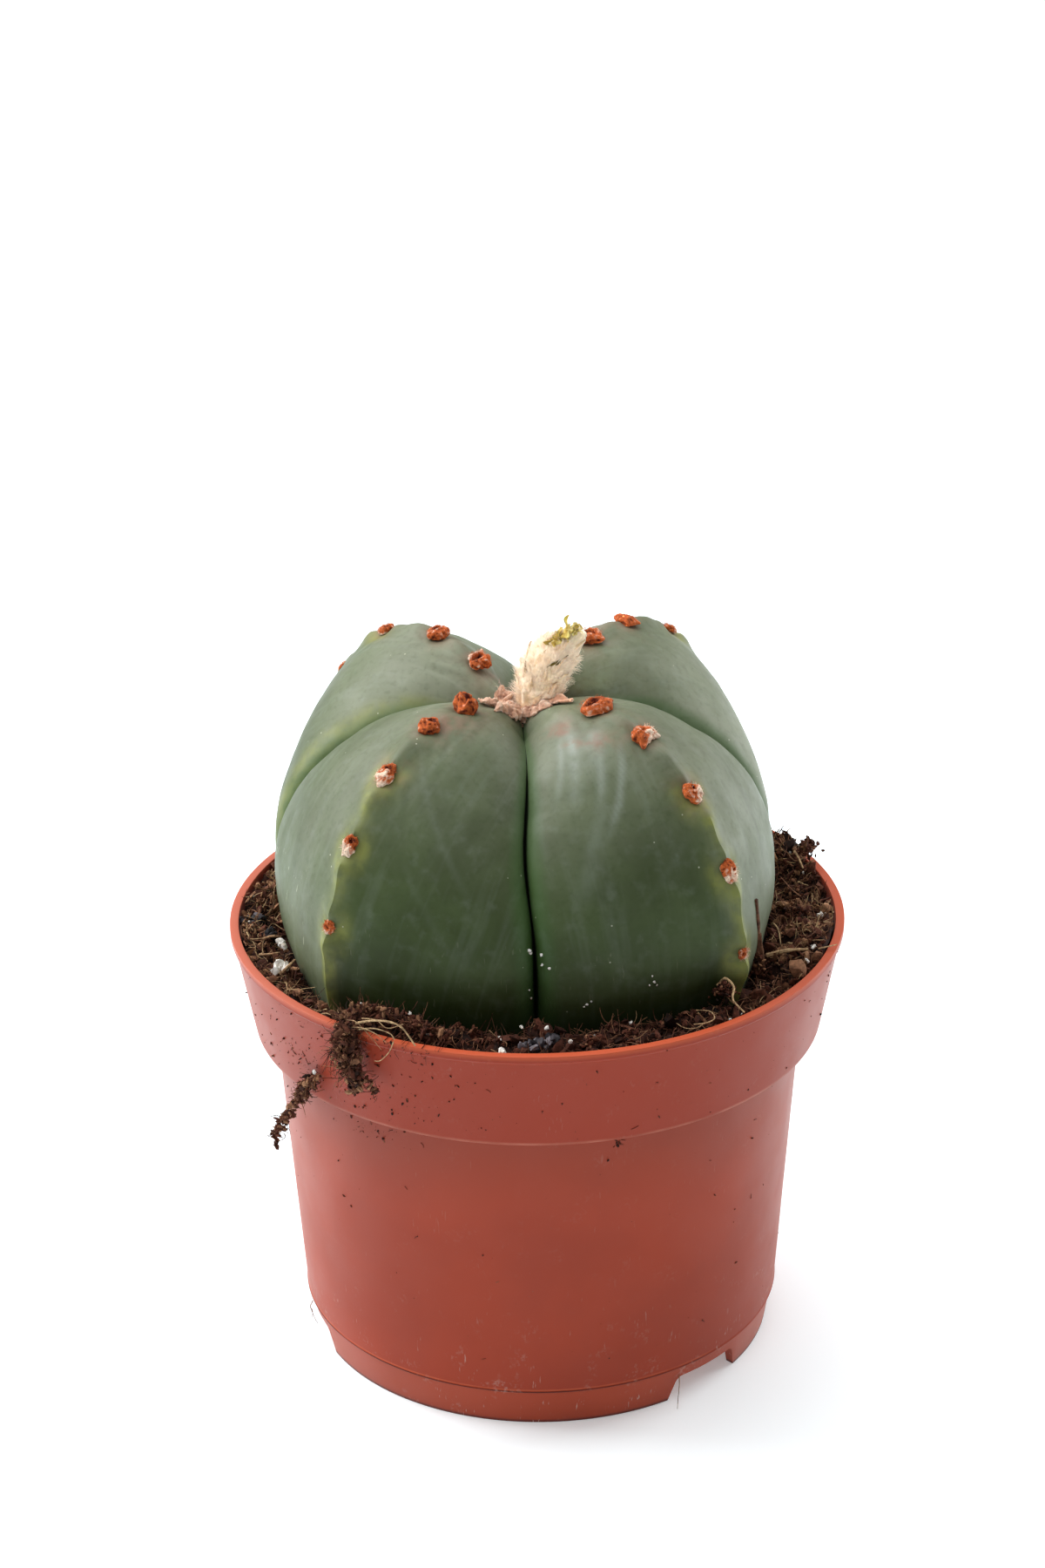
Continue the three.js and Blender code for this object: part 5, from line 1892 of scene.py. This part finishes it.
            heap.sheet(sheet, sheet - up * 0.1, faces,
                       np.concatenate([tint.ravel()] * 2))
        # Two dark sheets stand for slits in the wool below, painted dark as the shade inside them
        for along, turn, long in ((0.62, -1.75, 0.12), (0.68, -1.5, 0.13)):
            at = along + long * t + 0 * across
            turns = turn + 0.05 * np.sin(math.pi * t) * across + 0.25 * t
            heap.sheet(self.skin(at, turns, 0.5 + 0 * at), self.skin(at, turns, 0.2 + 0 * at), faces,
                       np.full(2 * rows * wide, 0.02))
        return heap.object("flower_petals_dry")

    def build_wool(self) -> Piece:
        """Crumpled papery lobes and tufts of tan wool over the ribs' tops round the flower."""
        stem, heap = self.stem, Heap(61)
        draw = heap.draw
        rows, wide = 24, 11
        faces = heap.plate(rows, wide)
        t = np.linspace(0, 1, rows)[:, None]
        across = np.linspace(-1, 1, wide)[None]
        for azimuth, start, length, breadth in WOOL_FLAPS:
            down = start + length * t + 0 * across
            ragged = 1 + 0.3 * np.sin(7 * t + azimuth) + 0.25 * np.sin(17 * t + azimuth * 2 + across)
            radius = np.maximum(stem.crest(down)[0], 2.0)
            around = azimuth + np.degrees(breadth * across * ragged * (1 - 0.7 * t ** 4) / radius)
            skin = stem.point(down, around)
            out = stem.normal(down, around)
            crumple = rough(skin.reshape(-1, 3), 1.7, azimuth * 0.37).reshape(rows, wide)
            fine = rough(skin.reshape(-1, 3), 0.8, 5.0).reshape(rows, wide)
            lift = 1.0 - 0.55 * t + 0.75 * crumple + 0.3 * fine - 0.35 * across ** 2
            lift = np.maximum(lift, 0.12)[..., None]
            tint = np.clip(0.5 + 0.45 * fine + 0.25 * crumple, 0, 1).ravel()
            # The flap's underside is painted darker, as the shade under it
            heap.sheet(skin + out * lift, skin + out * (lift - 0.26), faces,
                       np.concatenate([tint, tint * 0.6]))
        count, steps = self.wisps, 5
        azimuth = draw.uniform(0, 360, count)
        down = draw.uniform(0.5, 7.5, count) * draw.uniform(0.5, 1, count)
        root = stem.point(down, azimuth) + stem.normal(down, azimuth) * 0.2
        heading = stem.normal(down, azimuth) * 0.8 + draw.normal(size=root.shape) * 0.8
        paths = wander(draw, root, heading, draw.uniform(0.5, 1.6, count), steps, 0.35)
        thin = taper(draw.uniform(0.03, 0.07, count), 0.4, steps)
        heap.strands(paths, thin, draw.uniform(0.1, 0.8, (count, 1)))
        return heap.object("crown_tufts")


# Wool flaps as azimuth, where each starts down the rib, its length and its half breadth
WOOL_FLAPS = (
    (221, 2.5, 8.6, 1.7), (232, 2.5, 6.0, 1.5), (243, 3.5, 8.6, 0.8), (254, 2.5, 6.4, 0.7),
    (268, 2.0, 2.8, 0.6), (205, 2.5, 6.0, 1.4), (296, 2.5, 6.0, 0.9), (305, 3, 7.4, 1.1),
    (318, 3, 10.0, 1.2), (334, 3, 7.5, 1.3), (160, 2.5, 3.6, 1.4), (141, 2.5, 3.2, 1.5),
    (60, 3, 6.5, 2.0), (20, 3, 6.0, 1.8), (100, 2.5, 4.5, 1.5),
)


@dataclass
class Studio:
    """The camera, the lights and the floor."""

    lens: float = 93.66
    pitch: float = 24.66
    roll: float = -0.73
    place: Triple = (-2.2, -625.25, 388.19)
    # Metres across, so that low views show no horizon near the object
    floor_size: float = 40.0
    world: float = 0.1

    def camera(self) -> None:
        """Sets the camera at the photograph's angle."""
        data = bpy.data.cameras.new("camera")
        data.lens = self.lens
        data.sensor_width = 36
        data.sensor_fit = "AUTO"
        camera = into_scene("camera", data)
        camera.location = [c * MM for c in self.place]
        pitch, roll = math.radians(self.pitch), math.radians(self.roll)
        look = Vector((0, math.cos(pitch), -math.sin(pitch)))
        right = Vector((1, 0, 0))
        up = right.cross(look)
        x = right * math.cos(roll) + up * math.sin(roll)
        y = up * math.cos(roll) - right * math.sin(roll)
        camera.rotation_euler = Matrix((x, y, -look)).transposed().to_euler()
        bpy.context.scene.camera = camera

    def light(self, name: str, place: Triple, size: Pair,
              power: float, aim: Triple = (0, 0, 0.08),
              spread: float = 180) -> None:
        """Adds a soft panel.

        Args:
            name: the light's name.
            place: where it is, in metres.
            size: its width and height, in metres.
            power: its power in watts.
            aim: the point that it faces.
            spread: how wide its light spreads, in degrees.
        """
        lamp = self.lamp(name, "AREA", power, Vector(aim) - Vector(place), "-Z")
        lamp.location = place
        lamp.data.shape = "RECTANGLE"
        lamp.data.size, lamp.data.size_y = size
        lamp.data.spread = math.radians(spread)

    @staticmethod
    def lamp(name: str, kind: str, power: float, way: Any, axis: str) -> Piece:
        """Adds a light.

        Args:
            name: its name.
            kind: its type.
            power: its power or strength.
            way: the way that one of its axes points.
            axis: that axis.

        Returns:
            The light.
        """
        data = bpy.data.lights.new(name, kind)
        data.energy = power
        lamp = into_scene(name, data)
        lamp.rotation_euler = Vector(way).to_track_quat(axis, "Y").to_euler()
        return lamp

    def sun(self, aim: Triple, strength: float, angle: float) -> None:
        """Adds the broad overhead light from one way, so large that it lights the whole floor alike."""
        lamp = self.lamp("overhead_light", "SUN", strength, aim, "Z")
        lamp.data.angle = math.radians(angle)

    def build(self, floor_look: Look) -> None:
        """Lights the scene and lays the floor."""
        scene = bpy.context.scene
        scene.view_settings.view_transform = "Standard"
        world = bpy.data.worlds.new("studio") if scene.world is None else scene.world
        scene.world = world
        world.use_nodes = True
        backdrop = world.node_tree.nodes["Background"]
        backdrop.inputs["Color"].default_value = (1, 1, 1, 1)
        backdrop.inputs["Strength"].default_value = self.world
        self.sun((-0.26, 0.40, 0.88), 2.9, 80)
        self.light("front_panel", (-0.10, -0.62, 0.80), (0.9, 0.5), 1.8)
        self.light("left_panel", (-0.60, 0.20, 0.50), (0.45, 0.7), 6.0)
        self.light("right_panel", (0.56, 0.34, 0.34), (0.35, 0.7), 3.7)
        # A small panel behind a narrow grid lifts the crown
        self.light("crown_panel", (-0.14, -0.55, 0.28), (0.02, 0.02), 0.0021, (0.003, 0.0, 0.127), 4)
        Tool.nothing()
        bpy.ops.mesh.primitive_plane_add(size=self.floor_size)
        floor = bpy.context.object
        floor.name = "studio_floor_plane"
        floor.data.materials.append(floor_look)


def main() -> None:
    """Builds the camera, the object's pieces and the studio in order."""
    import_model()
    studio = Studio()
    studio.camera()

    peat = Fibrous("peat", "1b0d08", "66392a", "b0825f", 0.7, 0.15).make()
    straw = Fibrous("dry_straw", "4a261a", "94684c", "d2b184", 0.5, 0.06, 0.8).make()
    charcoal = Fibrous("charcoal", "17161a", "443f45", "8a8288", 0.8, 0.15, 0.6).make()
    areole_wool = Fibrous("areole_wool", "4a1308", "ca6430", "f6dcc4", 0.35, 0.1, shade="c8c8c8").make()
    crown_wool = Fibrous("crown_wool", "8a5844", "d49e82", "f6d2b8",
                         0.5, 0.1, 0.9, 0.4, 0.4, "cccccc").make()
    flower_wool = Fibrous("flower_wool", "9c7446", "f0d0a4", "fff0d6",
                          0.6, 0.04, 0.9, 0.4, 1.0, "e8e4e0").make()
    petal_look = Fibrous("dry_petal", "5e4a12", "bc962e", "e6cd6a",
                         0.8, 0.06, 0.6, 0.4, shade="d0d0d0").make()

    pot = Pot()
    stem = Stem()
    soil = Soil(pot, stem)
    crown = Crown(stem)
    Tool.finish(pot.build(), "pot_shell", PotPlastic().make(), "pot_plastic", "pot")
    Tool.finish(soil.build_plug(), "root_ball", peat, "potting_mix", "soil")
    Tool.finish(soil.build_crumbs(), "peat_crumbs", peat, "potting_mix")
    Tool.finish(soil.build_fibres(), "peat_fibres", straw, "potting_mix")
    Tool.finish(soil.build_straws(), "straws", straw, "potting_mix")
    white, black = soil.build_grains()
    Tool.finish(white, "perlite_grains", Perlite().make(), "potting_mix")
    Tool.finish(black, "charcoal_lumps", charcoal, "potting_mix")
    Tool.finish(soil.build_specks(), "peat_specks", peat, "potting_mix")
    Tool.finish(SPILL.build("spilled_peat", pot), "spilled_peat", peat, "potting_mix")
    Tool.finish(CAUGHT.build("caught_crumb", pot), "caught_crumb", peat, "potting_mix", "peat_crumb")
    Tool.finish(stem.build(), "stem_skin", CactusSkin().make(), "cactus_skin", "stem")
    buttons, hairs = Buttons(stem).build()
    Tool.finish(buttons, "areoles", areole_wool, "cactus_skin")
    Tool.finish(hairs, "areole_hairs", areole_wool, "cactus_skin")
    Tool.finish(crown.build_wool(), "crown_tufts", crown_wool, "crown_wool", "crown_wool")
    Tool.finish(crown.build_tube(), "flower_tube_skin", flower_wool, "dry_flower", "flower_tube")
    Tool.finish(crown.build_hairs(), "flower_hairs", flower_wool, "dry_flower")
    Tool.finish(crown.build_scales(), "flower_scales", flower_wool, "dry_flower")
    Tool.finish(crown.build_petals(), "flower_petals_dry", petal_look, "dry_petals", "flower_petals")
    studio.build(Floor().make())


if __name__ == "__main__":
    logging.basicConfig(level=logging.INFO)
    main()
